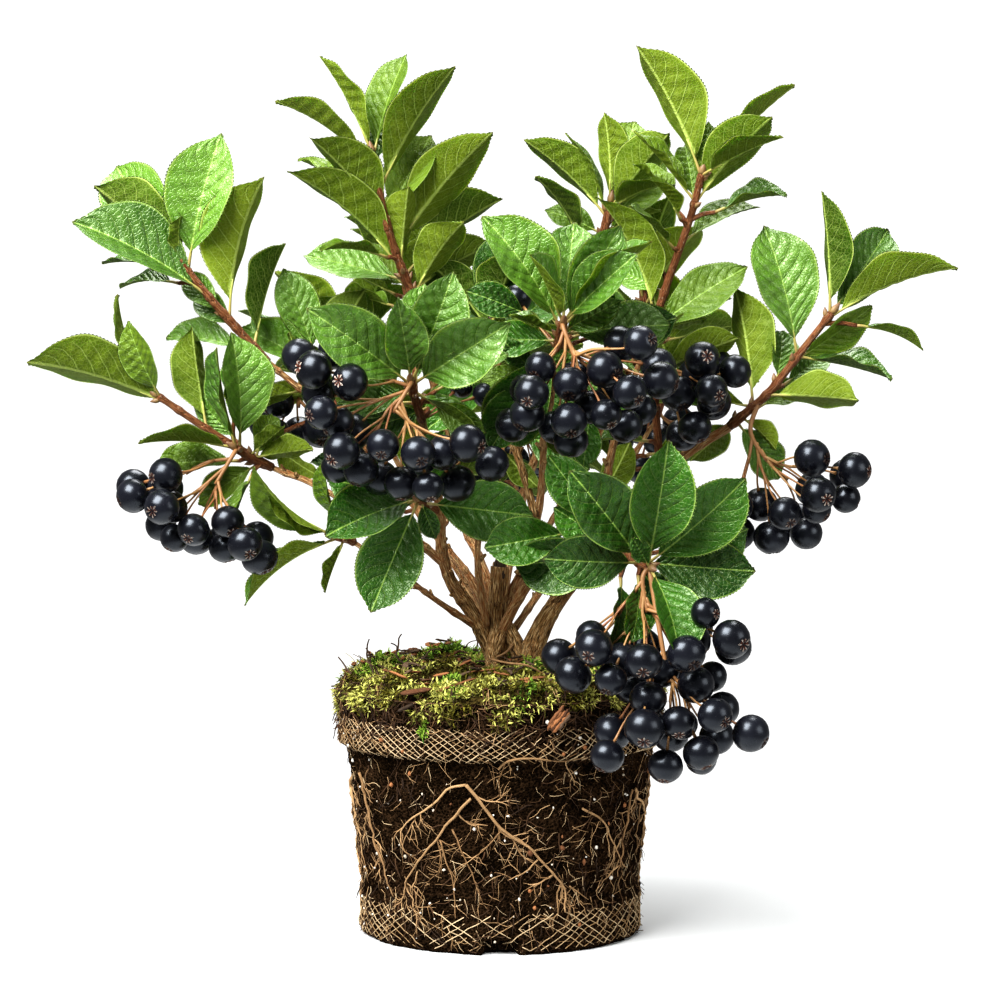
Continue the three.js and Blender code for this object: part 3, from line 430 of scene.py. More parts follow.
# Masses of foliage, as in the source. A leaf is (share of the stem, bearing, length, lean, face).
# green: how dark its leaves are, 0 fresh to 2 dark. more: leaves by the spiral rule. fine: small leaves
# on finer twigs, made here only. between: leaves that show between the bunches, made here only, each
# as the pixels of its foot and its tip, its depth, its face and its green. lone: berries behind the
# leaves, as a pixel, a depth and a radius.
SHOOTS = [
    {
        "name": "foliage_upper_left", "green": 0.9, "more": 2, "fine": 5,
        "stem": [(-104, -4, 256), (-128, -8, 283), (-143, -10, 302)],
        "leaves": [
            (0.12, 75, 53, -22, 160), (0.28, 142, 28, -30, 0), (0.34, 75, 67, 12, 180),
            (0.55, 151, 69, 8, 30), (0.4, 136, 28, -25, 0), (0.92, 138, 53, 20, 180),
            (0.98, 126, 60, -12, 0), (0.86, 76, 63, 0, 0), (0.97, 88, 22, 20, 150),
        ],
    },
    {
        "name": "foliage_far_left", "green": 0.5, "more": 1, "fine": 3,
        "stem": [(-102, -8, 209), (-124, -12, 222), (-152, -14, 241)],
        "leaves": [(0.62, 99, 47, -8, 160), (0.84, 162, 70, 10, 150), (0.98, 111, 38, 15, 10)],
    },
    {
        "name": "foliage_left", "green": 0.8, "more": 1, "fine": 4,
        "stem": [(-102, -8, 209), (-110, -14, 213), (-117, -20, 218)],
        "leaves": [
            (0.2, -27, 32, -30, 0), (0.3, 214, 36, -15, 0), (0.45, 73, 28, -40, 20),
            (0.55, 8, 28, -10, 160), (0.62, 40, 22, 10, 160), (0.75, 120, 40, -30, 170),
            (0.9, 93, 53, 8, 55), (0.98, 176, 46, 26, 170),
        ],
        "fruit": [
            {"hub": (-118, -24, 215), "bearings": (196, 288), "reach": (32, 50), "leans": (-22, 44),
             "count": 12, "seed": 3},
        ],
    },
    {
        "name": "foliage_low_left", "green": 0.2, "more": 1, "fine": 2,
        "stem": [(-65, -16, 176), (-69, -19, 178), (-73, -22, 179)],
        "leaves": [(0.9, 145, 42, 22, 170), (0.7, 215, 53, 8, 170), (0.5, 250, 26, 0, 160)],
    },
    {
        "name": "foliage_top_left", "green": 0.3, "more": 1, "fine": 6,
        "stem": [(-38, 12, 282), (-45, 8, 300), (-51, 2, 319), (-57, -4, 349)],
        "leaves": [
            (0.2, 166, 50, -12, 20), (0.06, 55, 46, 28, 170), (0.12, 142, 42, -40, 0),
            (0.1, 32, 50, -30, 180), (0.27, 139, 70, 12, 150), (0.32, 84, 38, 20, 170),
            (0.24, 39, 62, -22, 180), (0.45, 50, 69, 5, 160), (0.62, 131, 57, 25, 180),
            (0.66, 64, 48, -20, 0), (0.9, 144, 57, -6, 150), (0.82, 58, 66, 12, 180),
            (0.99, 118, 50, 4, 180), (0.94, 76, 30, -24, 0),
        ],
    },
    {
        "name": "foliage_front_left", "green": 0.9, "more": 1, "fine": 5,
        "stem": [(-34, -44, 231), (-37, -56, 242), (-38, -65, 248)],
        "leaves": [
            (0.55, 190, 32, -28, 0), (0.62, -41, 36, -12, 160), (0.82, 143, 60, 25, 0),
            (0.86, 32, 55, 25, 10), (0.92, 69, 52, 12, 25), (0.98, 98, 43, 34, 10),
        ],
        "fruit": [
            {"hub": (-38, -68, 247), "bearings": (156, 320), "reach": (32, 50), "leans": (-14, 40),
             "count": 15, "seed": 11},
        ],
        "between": [
            (412, 403, 336, 404, -46, 10, 1), (428, 408, 352, 432, -43, -10, 2),
            (430, 402, 486, 433, -52, 5, 0.3),
        ],
        "lone": [(484, 395, -36, 5.5), (461, 386, -34, 5.5)],
    },
    {
        "name": "foliage_front_low", "green": 1.6, "more": 2, "fine": 2,
        "stem": [(-28, -14, 190), (-32, -25, 193), (-36, -35, 196)],
        "leaves": [
            (0.5, 164, 47, 12, 0), (0.7, -6, 50, 14, 0), (0.95, 247, 56, 22, 0), (0.85, -68, 18, 10, 0),
        ],
    },
    {
        "name": "foliage_back_top", "green": 0.2, "more": 4, "fine": 4,
        "stem": [(47, 46, 312), (49, 45, 320), (51, 44, 330)],
        "leaves": [
            (0.2, 157, 30, -10, 0), (0.3, 20, 30, -15, 160), (0.5, 46, 42, -10, 20),
            (0.65, 137, 53, 0, 180), (0.8, 52, 50, 8, 150), (0.95, 94, 43, 12, 180),
        ],
    },
    {
        "name": "foliage_top_right", "green": 0.3, "more": 3, "fine": 5,
        "stem": [(67, 12, 264), (75, 8, 290), (86, 0, 323), (90, -4, 340)],
        "leaves": [
            (0.06, 16, 26, 10, 170), (0.08, 34, 52, -8, 0), (0.14, 116, 63, 6, 180),
            (0.3, 150, 30, -40, 0), (0.72, 49, 54, 20, 180), (0.74, 97, 32, -30, 0),
            (0.95, 45, 61, -6, 160), (0.9, 80, 32, -28, 0), (0.98, 117, 65, 4, 180),
        ],
    },
    {
        "name": "foliage_front_centre", "green": 1.2, "more": 1, "fine": 5,
        "stem": [(25, -44, 261), (26, -53, 268), (27, -61, 273)],
        "leaves": [
            (0.2, 239, 54, -22, 0), (0.3, 180, 34, -30, 0), (0.42, 157, 24, 0, 170), (0.5, 5, 50, -14, 0),
            (0.58, 28, 30, 14, 0), (0.66, 125, 60, 8, 30), (0.74, 44, 55, 22, 170),
            (0.82, 83, 50, -16, 0), (0.9, 60, 50, -2, 10), (0.98, 117, 40, 30, 180),
        ],
        "fruit": [
            {"hub": (27, -64, 271), "bearings": (238, 348), "reach": (22, 50), "leans": (-14, 40),
             "count": 15, "seed": 5},
        ],
        "between": [
            (538, 376, 490, 451, -34, 15, 2), (536, 373, 503, 340, -36, -10, 1.4),
            (534, 368, 478, 387, -30, 20, 0.2), (552, 342, 512, 316, -32, 160, 0.8),
            (530, 316, 466, 291, -26, 10, 2), (590, 412, 583, 468, -28, 0, 2),
            (546, 424, 563, 454, -30, 160, 0.4), (596, 335, 677, 318, -34, 10, 1.6),
            (572, 337, 634, 311, -40, 140, 0.8), (573, 332, 614, 288, -38, 10, 2),
            (574, 381, 553, 347, -40, 0, 1),
        ],
        "lone": [(517, 299, -22, 6.8)],
    },
    {
        "name": "foliage_right_inner", "green": 1, "more": 2, "fine": 5,
        "stem": [(72, -1, 207), (70, -8, 230), (68, -14, 256)],
        "leaves": [
            (0.9, 23, 42, -6, 160), (0.7, 10, 34, -25, 0), (0.6, 160, 34, -20, 0),
            (0.95, 60, 30, -20, 160),
        ],
        "fruit": [
            {"hub": (69, -16, 257), "bearings": (288, 362), "reach": (18, 38), "leans": (-30, 44),
             "count": 8, "seed": 9},
        ],
    },
    {
        "name": "foliage_right", "green": 0.7, "more": 2, "fine": 5,
        "stem": [(103, 0, 227), (120, -3, 242), (134, -6, 260), (148, -8, 278)],
        "leaves": [
            (0.06, -53, 36, -20, 0), (0.04, 225, 34, -20, 160), (0.1, -43, 22, 10, 170),
            (0.2, 177, 30, -10, 160), (0.2, 98, 56, 6, 170), (0.32, -3, 44, 26, 170),
            (0.42, 81, 28, -30, 0), (0.64, 104, 61, -6, 0), (0.6, 35, 44, -6, 55), (0.98, 95, 56, 8, 180),
            (0.96, 54, 53, -20, 0), (0.94, 22, 63, 8, 170),
        ],
        "fruit": [
            {"root": 0.25, "hub": (112, -8, 225), "bearings": (254, 340), "reach": (32, 52),
             "leans": (-20, 40), "count": 12, "seed": 2},
        ],
    },
    {
        # All its leaves are dark, partly as painted shade, since this mass lies in shade.
        "name": "foliage_front_right", "green": 2, "more": 1, "fine": 3,
        "stem": [(52, -68, 176), (58, -77, 172), (63, -87, 170)],
        "leaves": [
            (0.1, 148, 36, -25, 0), (0.2, 186, 50, -14, 0), (0.4, -56, 34, -14, 0), (0.55, -4, 50, 10, 0),
            (0.62, 176, 45, 22, 0), (0.72, 128, 54, 12, 10), (0.82, 42, 57, 12, 10),
            (0.92, 82, 57, 18, 0), (0.98, 120, 18, 34, 0),
        ],
        "fruit": [
            {"hub": (60, -88, 166), "bearings": (224, 334), "reach": (30, 52), "leans": (-20, 40),
             "count": 15, "seed": 7},
            {"hub": (68, -94, 137), "bearings": (240, 320), "reach": (32, 52), "leans": (-22, 36),
             "count": 10, "seed": 4},
        ],
        "between": [(602, 527, 548, 455, -62, 0, 2), (574, 532, 484, 548, -60, 5, 2)],
    },
    {
        "name": "foliage_centre", "green": 1.8, "more": 3, "fine": 8,
        # Dark leaves in the middle of the crown, partly as painted shade of the inner crown.
        "stem": [(0, 10, 240), (-1, 12, 254), (-4, 14, 271)],
        "leaves": [
            (0.98, 80, 46, -5, 0), (0.8, 40, 44, -10, 0), (0.85, 130, 46, 0, 150), (0.6, 10, 40, 0, 160),
            (0.65, 175, 40, 10, 0), (0.4, -30, 40, 10, 0), (0.3, 215, 40, 0, 0),
        ],
        "between": [(500, 447, 539, 488, 4, 160, 0.2), (520, 430, 590, 470, 12, 0, 1.6)],
    },
    {
        "name": "foliage_inner_left", "green": 1, "more": 2, "fine": 6,
        "stem": [(-74, 11, 233), (-80, 18, 246), (-84, 20, 258)],
        "leaves": [
            (0.98, 110, 44, 0, 0), (0.8, 60, 42, -5, 160), (0.7, 150, 42, 5, 0), (0.5, 20, 42, 0, 0),
            (0.4, 195, 36, 0, 160),
        ],
        "fruit": [
            {"hub": (-90, 21, 250), "bearings": (225, 300), "reach": (16, 34), "leans": (-20, 24),
             "count": 5, "seed": 6},
        ],
        "between": [
            (300, 384, 289, 332, 6, 150, 0.8), (302, 391, 247, 404, 3, 150, 0.4),
            (268, 440, 323, 478, 4, 140, 0.4),
        ],
    },
    {
        "name": "foliage_back_left", "green": 1.1, "more": 11, "fine": 8,
        "stem": [(-62, 84, 236), (-68, 92, 252), (-72, 98, 266)],
        "leaves": [],
        "fruit": [
            {"hub": (-66, 100, 250), "bearings": (230, 310), "reach": (30, 46), "leans": (-60, -20),
             "count": 6, "seed": 8},
        ],
    },
    {
        "name": "foliage_back_right", "green": 1.1, "more": 11, "fine": 8,
        "stem": [(74, 78, 228), (80, 86, 246), (82, 92, 262)],
        "leaves": [],
        "fruit": [
            {"hub": (76, 96, 244), "bearings": (230, 310), "reach": (30, 46), "leans": (-60, -20),
             "count": 6, "seed": 12},
        ],
    },
    {
        "name": "foliage_back_high_left", "green": 0.6, "more": 9, "fine": 7,
        "stem": [(-40, 66, 276), (-44, 70, 290), (-46, 74, 304)],
        "leaves": [],
    },
    {
        "name": "foliage_back_high_right", "green": 0.6, "more": 9, "fine": 7,
        "stem": [(66, 70, 266), (68, 74, 280), (68, 78, 294)],
        "leaves": [],
    },
    {
        "name": "foliage_back_middle", "green": 1.2, "more": 11, "fine": 8,
        "stem": [(10, 98, 226), (10, 108, 240), (8, 114, 254)],
        "leaves": [],
        "fruit": [
            {"hub": (9, 118, 236), "bearings": (230, 310), "reach": (30, 48), "leans": (-60, -20),
             "count": 7, "seed": 14},
        ],
    },
]


# Numbers, vectors and curves

def seeded(seed):
    """The source's own row of numbers from a seed, each from 0 to 1."""
    state = seed

    def draw():
        nonlocal state
        state = (state + 0x6D2B79F5) & WORD
        turned = (state ^ (state >> 15)) * (state | 1) & WORD
        again = (turned ^ (turned >> 7)) * (turned | 61) & WORD
        turned ^= (turned + again) & WORD
        return (turned ^ (turned >> 14)) / (WORD + 1)

    return draw


def between(ends, share):
    return ends[0] + (ends[1] - ends[0]) * share


def swelling(values, middle, width):
    """A smooth hump, one high."""
    return np.exp(-(((values - middle) / width) ** 2))


def turns(count):
    """Evenly spaced angles round a circle."""
    return np.arange(count) * math.tau / count


def unit(vector):
    return vector / np.linalg.norm(vector)


def unit_rows(vectors):
    return vectors / np.linalg.norm(vectors, axis=1)[:, None]


def direction(bearing, lean):
    """A unit vector from a bearing in the plane that faces -Y and a lean out of it, in degrees."""
    bearing, lean = math.radians(bearing), math.radians(lean)
    level = math.cos(lean)
    return np.array([math.cos(bearing) * level, -math.sin(lean), math.sin(bearing) * level])


def way_at(heading, rise):
    """A unit vector from a heading over the ground and a rise above it, in degrees."""
    heading, rise = math.radians(heading), math.radians(rise)
    level = math.cos(rise)
    return np.array([math.cos(heading) * level, math.sin(heading) * level, math.sin(rise)])


def turned_about(vector, axis, angle):
    """The vector turned about a unit axis, in degrees."""
    angle = math.radians(angle)
    kept = axis * (axis @ vector) * (1 - math.cos(angle))
    return vector * math.cos(angle) + np.cross(axis, vector) * math.sin(angle) + kept


def square_to(vector, axis):
    """The part of the vector that is square to the axis, one long."""
    return unit(vector - axis * (axis @ vector))


def curve_point(points, share):
    """A point on the smooth curve through the points, at a share of its spans."""
    points = np.asarray(points, float)
    last = len(points) - 1
    span = min(int(share * last), last - 1)
    part = share * last - span
    before = points[span - 1] if span > 0 else 2 * points[0] - points[1]
    after = points[span + 2] if span + 2 <= last else 2 * points[last] - points[last - 1]
    start, end = points[span], points[span + 1]
    steps = [math.sqrt(math.dist(a, b)) for a, b in ((before, start), (start, end), (end, after))]
    rise = slope_at(before, start, end, steps[0], steps[1]) * steps[1]
    fall = slope_at(start, end, after, steps[1], steps[2]) * steps[1]
    cubic = 2 * start - 2 * end + rise + fall
    square = -3 * start + 3 * end - 2 * rise - fall
    return start + part * (rise + part * (square + part * cubic))


def slope_at(before, here, after, step_before, step_after):
    whole = (after - before) / (step_before + step_after)
    return (here - before) / step_before - whole + (after - here) / step_after


def curve(points, count):
    return np.array([curve_point(points, share) for share in np.linspace(0, 1, count)])


def curve_direction(points, share):
    """Which way the curve runs at a share of its spans."""
    step = 0.0001
    low = max(share - step, 0)
    high = min(share + step, 1)
    return unit(curve_point(points, high) - curve_point(points, low))


def lumps(places, size, seed):
    """Smooth random relief from -1 to 1, its lumps about that size across."""
    spot = np.asarray(places, float) / size
    low = np.floor(spot).astype(np.int64)
    part = spot - low
    part = part * part * (3 - 2 * part)
    total = np.zeros(len(spot))
    for corner in range(8):
        step = np.array([corner & 1, corner >> 1 & 1, corner >> 2 & 1])
        knot = ((low + step) @ KNOT_WEIGHTS + seed * SEED_WEIGHT) & WORD
        knot = (knot ^ (knot >> 13)) * LAST_WEIGHT & WORD
        knot = knot ^ (knot >> 16)
        total += np.prod(np.where(step, part, 1 - part), axis=1) * (knot / 2**31 - 1)
    return total


def rough(places, size, seed, layers=3):
    """Relief in several layers, each half as large and half as high as the one before."""
    return sum(lumps(places, size / 2**i, seed + i) / 2**i for i in range(layers))


# Joined shapes

class Heap:
    """Shapes of one kind, gathered as arrays and then made into one piece."""

    def __init__(self, name, slot, finishes):
        self.name = name
        self.slot = slot
        self.finishes = finishes
        self.places = []
        self.marks = []
        self.tones = []
        self.corners = []
        self.counts = []
        self.kinds = []
        self.total = 0

    def add(self, places, sheets, marks=None, tone=0.5):
        """Adds places, and sheets of faces with the name of their finish, a row of corners for each face."""
        places = np.asarray(places, float).reshape(-1, 3)
        for faces, finish in sheets:
            faces = np.asarray(faces)
            self.corners.append((faces + self.total).ravel())
            self.counts.append(np.full(len(faces), faces.shape[1]))
            self.kinds.append(np.full(len(faces), list(self.finishes).index(finish)))
        self.places.append(places)
        self.marks.append(places if marks is None else np.asarray(marks, float).reshape(-1, 3))
        self.tones.append(np.broadcast_to(tone, len(places)))
        self.total += len(places)

    def make(self, *nodes):
        """Makes the piece, which stands for these CAD nodes."""
        mesh = bpy.data.meshes.new(self.name)
        corners = np.concatenate(self.corners)
        counts = np.concatenate(self.counts)
        mesh.vertices.add(self.total)
        mesh.vertices.foreach_set("co", (np.concatenate(self.places) * MM).ravel())
        mesh.loops.add(len(corners))
        mesh.loops.foreach_set("vertex_index", corners)
        mesh.polygons.add(len(counts))
        mesh.polygons.foreach_set("loop_start", np.concatenate([[0], np.cumsum(counts)[:-1]]))
        mesh.polygons.foreach_set("material_index", np.concatenate(self.kinds))
        mesh.polygons.foreach_set("use_smooth", np.full(len(counts), True))
        mark = mesh.attributes.new("mark", "FLOAT_VECTOR", "POINT")
        mark.data.foreach_set("vector", np.concatenate(self.marks).ravel())
        tone = mesh.attributes.new("tone", "FLOAT", "POINT")
        tone.data.foreach_set("value", np.concatenate(self.tones))
        for finish in self.finishes:
            mesh.materials.append(finish_of(finish))
        mesh.update(calc_edges=True)
        piece = bpy.data.objects.new(self.name, mesh)
        bpy.context.scene.collection.objects.link(piece)
        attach(piece, "root")
        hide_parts(*nodes)


def grid_faces(rows, columns, closed=False):
    """Corner numbers of the quads of a grid, its last column joined to its first where it is closed."""
    row = np.arange(rows - 1)[:, None] * columns
    column = np.arange(columns if closed else columns - 1)[None, :]
    after = (column + 1) % columns
    quads = np.stack([row + column, row + after, row + columns + after, row + columns + column], axis=-1)
    return quads.reshape(-1, 4)


def end_fans(rings, sides):
    """The triangles that close a tube's two ends, to the two middles that follow its rings."""
    step = np.arange(sides)
    after = (step + 1) % sides
    last = (rings - 1) * sides
    middle = np.full(sides, rings * sides)
    foot = np.stack([after, step, middle], axis=-1)
    return foot, np.stack([last + step, last + after, middle + 1], axis=-1)


def sides_along(line):
    """Two unit vectors across a line, all along it, which turn no more than the line does."""
    ahead = unit_rows(np.gradient(line, axis=0))
    across = np.empty_like(line)
    axis = np.eye(3)[np.argmin(np.abs(ahead[0]))]
    for i, way in enumerate(ahead):
        axis = square_to(axis, way)
        across[i] = axis
    return across, np.cross(ahead, across)


def tube(heap, line, radii, sides, finish, end_finish=None, tone=0.5, relief=None):
    """A rod along a line, closed at both ends. Its marks are its own straight-rod coordinates."""
    line = np.asarray(line, float)
    rings = len(line)
    radii = np.broadcast_to(radii, rings)[:, None] * np.ones(sides)
    across, other = sides_along(line)
    angle = turns(sides)
    run = np.concatenate([[0], np.cumsum(np.linalg.norm(np.diff(line, axis=0), axis=1))])
    rise = np.repeat(run[:, None], sides, 1)
    marks = np.stack([radii * np.cos(angle), radii * np.sin(angle), rise], axis=-1).reshape(-1, 3)
    if relief is not None:
        radii = radii + relief(marks).reshape(rings, sides)
    out = across[:, None] * np.cos(angle)[:, None] + other[:, None] * np.sin(angle)[:, None]
    skin = line[:, None] + out * radii[..., None]
    foot, tip = end_fans(rings, sides)
    tones = np.broadcast_to(tone, rings)
    heap.add(
        np.concatenate([skin.reshape(-1, 3), line[:1], line[-1:]]),
        [(grid_faces(rings, sides, True), finish), (foot, finish), (tip, end_finish or finish)],
        np.concatenate([marks, [[0, 0, 0]], [[0, 0, run[-1]]]]),
        np.concatenate([np.repeat(tones, sides), tones[:1], tones[-1:]]),
    )


# Finishes. A colour is its shares of red, green and blue.

def set_inputs(tree, node, inputs):
    """Joins each input to a socket, or sets it to a value."""
    for name, value in inputs.items():
        if isinstance(value, bpy.types.NodeSocket):
            tree.links.new(value, node.inputs[name])
        else:
            node.inputs[name].default_value = value


def add_node(tree, kind, inputs=None, **options):
    """Adds a node, sets its options, and joins or sets its inputs."""
    node = tree.nodes.new("ShaderNode" + kind)
    for option, value in options.items():
        setattr(node, option, value)
    set_inputs(tree, node, inputs or {})
    return node


def worked(tree, operation, *values):
    return add_node(tree, "Math", dict(enumerate(values)), operation=operation).outputs[0]


def times(tree, first, second):
    return worked(tree, "MULTIPLY", first, second)


def times_plus(tree, first, second, more):
    return worked(tree, "MULTIPLY_ADD", first, second, more)


def stepped(tree, value, low, high, start=0, end=1):
    """The value carried smoothly from one range to another, and held at its ends."""
    inputs = {"Value": value, "From Min": low, "From Max": high, "To Min": start, "To Max": end}
    return add_node(tree, "MapRange", inputs, interpolation_type="SMOOTHSTEP").outputs[0]


def mixed(tree, share, first, second):
    """One colour, or one socket, going over into another."""
    ends = [end if isinstance(end, bpy.types.NodeSocket) else colour(end) for end in (first, second)]
    return add_node(tree, "Mix", {0: share, 6: ends[0], 7: ends[1]}, data_type="RGBA").outputs[2]


def stretched(tree, vector, scale):
    return add_node(tree, "VectorMath", {0: vector, 1: scale}, operation="MULTIPLY").outputs[0]


def noise(tree, vector, scale, detail=3):
    inputs = {"Vector": vector, "Scale": scale, "Detail": detail}
    return add_node(tree, "TexNoise", inputs).outputs[0]


def cells(tree, vector, scale, feature="F1"):
    """How far it is to the nearest of many scattered points, or to the edge between their cells."""
    inputs = {"Vector": vector, "Scale": scale}
    return add_node(tree, "TexVoronoi", inputs, feature=feature).outputs["Distance"]


def colour(shares):
    return (*shares, 1)


def new_group(name, inputs, outputs):
    """An empty shader node group with named inputs of given kinds, and named numbers as outputs."""
    group = bpy.data.node_groups.new(name, "ShaderNodeTree")
    for label, kind, value in inputs:
        socket = group.interface.new_socket(label, in_out="INPUT", socket_type="NodeSocket" + kind)
        if value is not None:
            socket.default_value = value
    for label in outputs:
        group.interface.new_socket(label, in_out="OUTPUT", socket_type="NodeSocketFloat")
    return group, group.nodes.new("NodeGroupInput"), group.nodes.new("NodeGroupOutput")


def veins_group():
    """Rib, side veins, pale margin and fine net of a leaf, and the swell between its side veins, which shapes
    the relief and is painted lighter as sheen, from its place across and along the blade.
    """
    net_fineness = 620
    group, given, put = new_group(
        "leaf_veins",
        [("Mark", "Vector", None), ("Place", "Vector", None), ("Vein Count", "Float", LEAF_VEINS),
         ("Rib Width", "Float", 0.04)],
        ["Rib", "Side Veins", "Swell And Painted Sheen", "Margin", "Net", "Tip"],
    )
    apart = add_node(group, "SeparateXYZ", {0: given.outputs["Mark"]})
    across = worked(group, "ABSOLUTE", apart.outputs[0])
    along = apart.outputs[1]
    bulge = worked(group, "SINE", times(group, worked(group, "POWER", along, 1.2), math.pi))
    width = worked(group, "MAXIMUM", bulge, 0.1)
    rib_edge = worked(group, "DIVIDE", times(group, across, width), given.outputs["Rib Width"])
    rib = stepped(group, rib_edge, 0.3, 1.0, 1, 0)
    swept = times(group, worked(group, "POWER", across, VEIN_SWEEP[1]), VEIN_SWEEP[0])
    run = times(group, worked(group, "SUBTRACT", along, swept), given.outputs["Vein Count"])
    wave = worked(group, "PINGPONG", run, 0.5)
    vein = stepped(group, wave, 0.0, 0.085, 1, 0)
    fade = stepped(group, across, 0.55, 0.95, 1, 0)
    net = cells(group, given.outputs["Place"], net_fineness, "DISTANCE_TO_EDGE")
    set_inputs(group, put, {
        "Rib": rib,
        "Side Veins": times(group, vein, fade),
        "Swell And Painted Sheen": times(group, stepped(group, wave, 0.0, 0.4), fade),
        "Margin": stepped(group, across, 0.94, 0.99),
        "Tip": stepped(group, along, 0.96, 1.0),
        "Net": stepped(group, net, 0.0, 0.16, 1, 0),
    })
    return group


def fibres_group():
    """Long fibres and cracks, for bark, wood and roots, that run along the mark's third axis."""
    group, given, put = new_group(
        "fibres",
        [("Mark", "Vector", None), ("Fineness", "Float", 1.0), ("Length", "Float", 6.0)],
        ["Fibres", "Cracks", "Patches"],
    )
    mark, fineness = given.outputs["Mark"], given.outputs["Fineness"]
    shrink = worked(group, "DIVIDE", fineness, given.outputs["Length"])
    scale = add_node(group, "CombineXYZ", {0: fineness, 1: fineness, 2: shrink}).outputs[0]
    long_way = stretched(group, mark, scale)
    fibres = noise(group, long_way, 1.6, 5)
    cracks = cells(group, long_way, 0.8, "DISTANCE_TO_EDGE")
    patches = noise(group, mark, 0.12, 3)
    cracks = stepped(group, cracks, 0.0, 0.12, 1, 0)
    set_inputs(group, put, {"Fibres": fibres, "Cracks": cracks, "Patches": patches})
    return group


def crumbs_group():
    """Crumbs and specks over a surface, for soil and moss."""
    crumb_fineness, speck_fineness, patch_fineness = 900, 520, 70
    group, given, put = new_group(
        "crumbs",
        [("Place", "Vector", None), ("Fineness", "Float", 1.0)],
        ["Crumbs", "Specks", "Patches"],
    )
    place = given.outputs["Place"]
    crumbs = cells(group, place, times(group, given.outputs["Fineness"], crumb_fineness))
    specks = cells(group, place, speck_fineness)
    set_inputs(group, put, {
        "Crumbs": crumbs,
        "Specks": stepped(group, specks, 0.1, 0.2, 1, 0),
        "Patches": noise(group, place, patch_fineness, 4),
    })
    return group


GROUPS = {"leaf_veins": veins_group(), "fibres": fibres_group(), "crumbs": crumbs_group()}


def placed_group(tree, name, inputs):
    return add_node(tree, "Group", inputs, node_tree=GROUPS[name]).outputs


def spaced(labels):
    return {label.replace("_", " "): value for label, value in labels.items()}


def new_finish(name, **plain):
    """A material with its Principled shader, plain values set on the shader's own sockets."""
    finish = bpy.data.materials.new(name)
    finish.use_nodes = True
    shader = finish.node_tree.nodes["Principled BSDF"]
    set_inputs(finish.node_tree, shader, spaced(plain))
    return finish.node_tree, shader


def join(tree, shader, **sockets):
    set_inputs(tree, shader, spaced(sockets))


def bumped(tree, height, depth):
    return add_node(tree, "Bump", {"Height": height, "Distance": depth * MM}).outputs[0]


def mark_of(tree):
    return add_node(tree, "Attribute", attribute_name="mark").outputs["Vector"]


def tone_of(tree):
    return add_node(tree, "Attribute", attribute_name="tone").outputs["Fac"]


def tone_less(tree, less):
    return worked(tree, "SUBTRACT", tone_of(tree), less)


def place_of(tree):
    return add_node(tree, "TexCoord").outputs["Object"]


def leaf_finish(name, dark, light, vein, gloss, raised, vein_share, sheen, swell):
    """A leaf's side: two greens, the colour of its veins, its roughness, and veins raised or sunk."""
    sunk = raised < 0
    tree, shader = new_finish(
        name, IOR=1.45, Subsurface_Weight=0.1, Subsurface_Scale=0.4 * MM,
        Subsurface_Radius=(0.6, 1.0, 0.1), Specular_IOR_Level=sheen, Specular_Tint=colour((0.85, 1, 0.66)),
    )
    place = place_of(tree)
    rib_width = 0.03 if sunk else 0.07
    veins = placed_group(tree, "leaf_veins", {"Mark": mark_of(tree), "Place": place, "Rib Width": rib_width})
    mottle = noise(tree, place, 60, 3)
    share = times_plus(tree, mottle, 0.9, tone_less(tree, 0.52))
    # Painted sheen: the green is lighter where the blade swells between its side veins.
    green = mixed(tree, times_plus(tree, veins["Swell And Painted Sheen"], 0.25, share), dark, light)
    pale_parts = {"Net": 0.12 if sunk else 0.16, "Side Veins": vein_share, "Rib": 0.75, "Margin": 0.8}
    for part, weight in pale_parts.items():
        green = mixed(tree, times(tree, veins[part], weight), green, vein)
    green = mixed(tree, times(tree, veins["Tip"], 0.7), green, LEAF_TIP)
    fine = noise(tree, place, 900, 2)
    lines = times_plus(tree, veins["Net"], 0.5, veins["Side Veins"])
    height = times_plus(tree, lines, raised, times(tree, fine, 0.3))
    height = times_plus(tree, veins["Swell And Painted Sheen"], swell, height)
    roughness = times_plus(tree, mottle, 0.14, gloss)
    join(tree, shader, Base_Color=green, Roughness=roughness, Normal=bumped(tree, height, 0.3))


def stalk_finish(name, young, old):
    """Leaf stalks, fruit stalks and buds: smooth, one colour going over into another by tone."""
    tree, shader = new_finish(name, Roughness=0.5)
    fibres = placed_group(tree, "fibres", {"Mark": mark_of(tree), "Fineness": 1.2, "Length": 4})
    share = times_plus(tree, fibres["Patches"], 0.5, tone_less(tree, 0.25))
    skin = mixed(tree, share, young, old)
    join(tree, shader, Base_Color=skin, Normal=bumped(tree, fibres["Fibres"], 0.15))


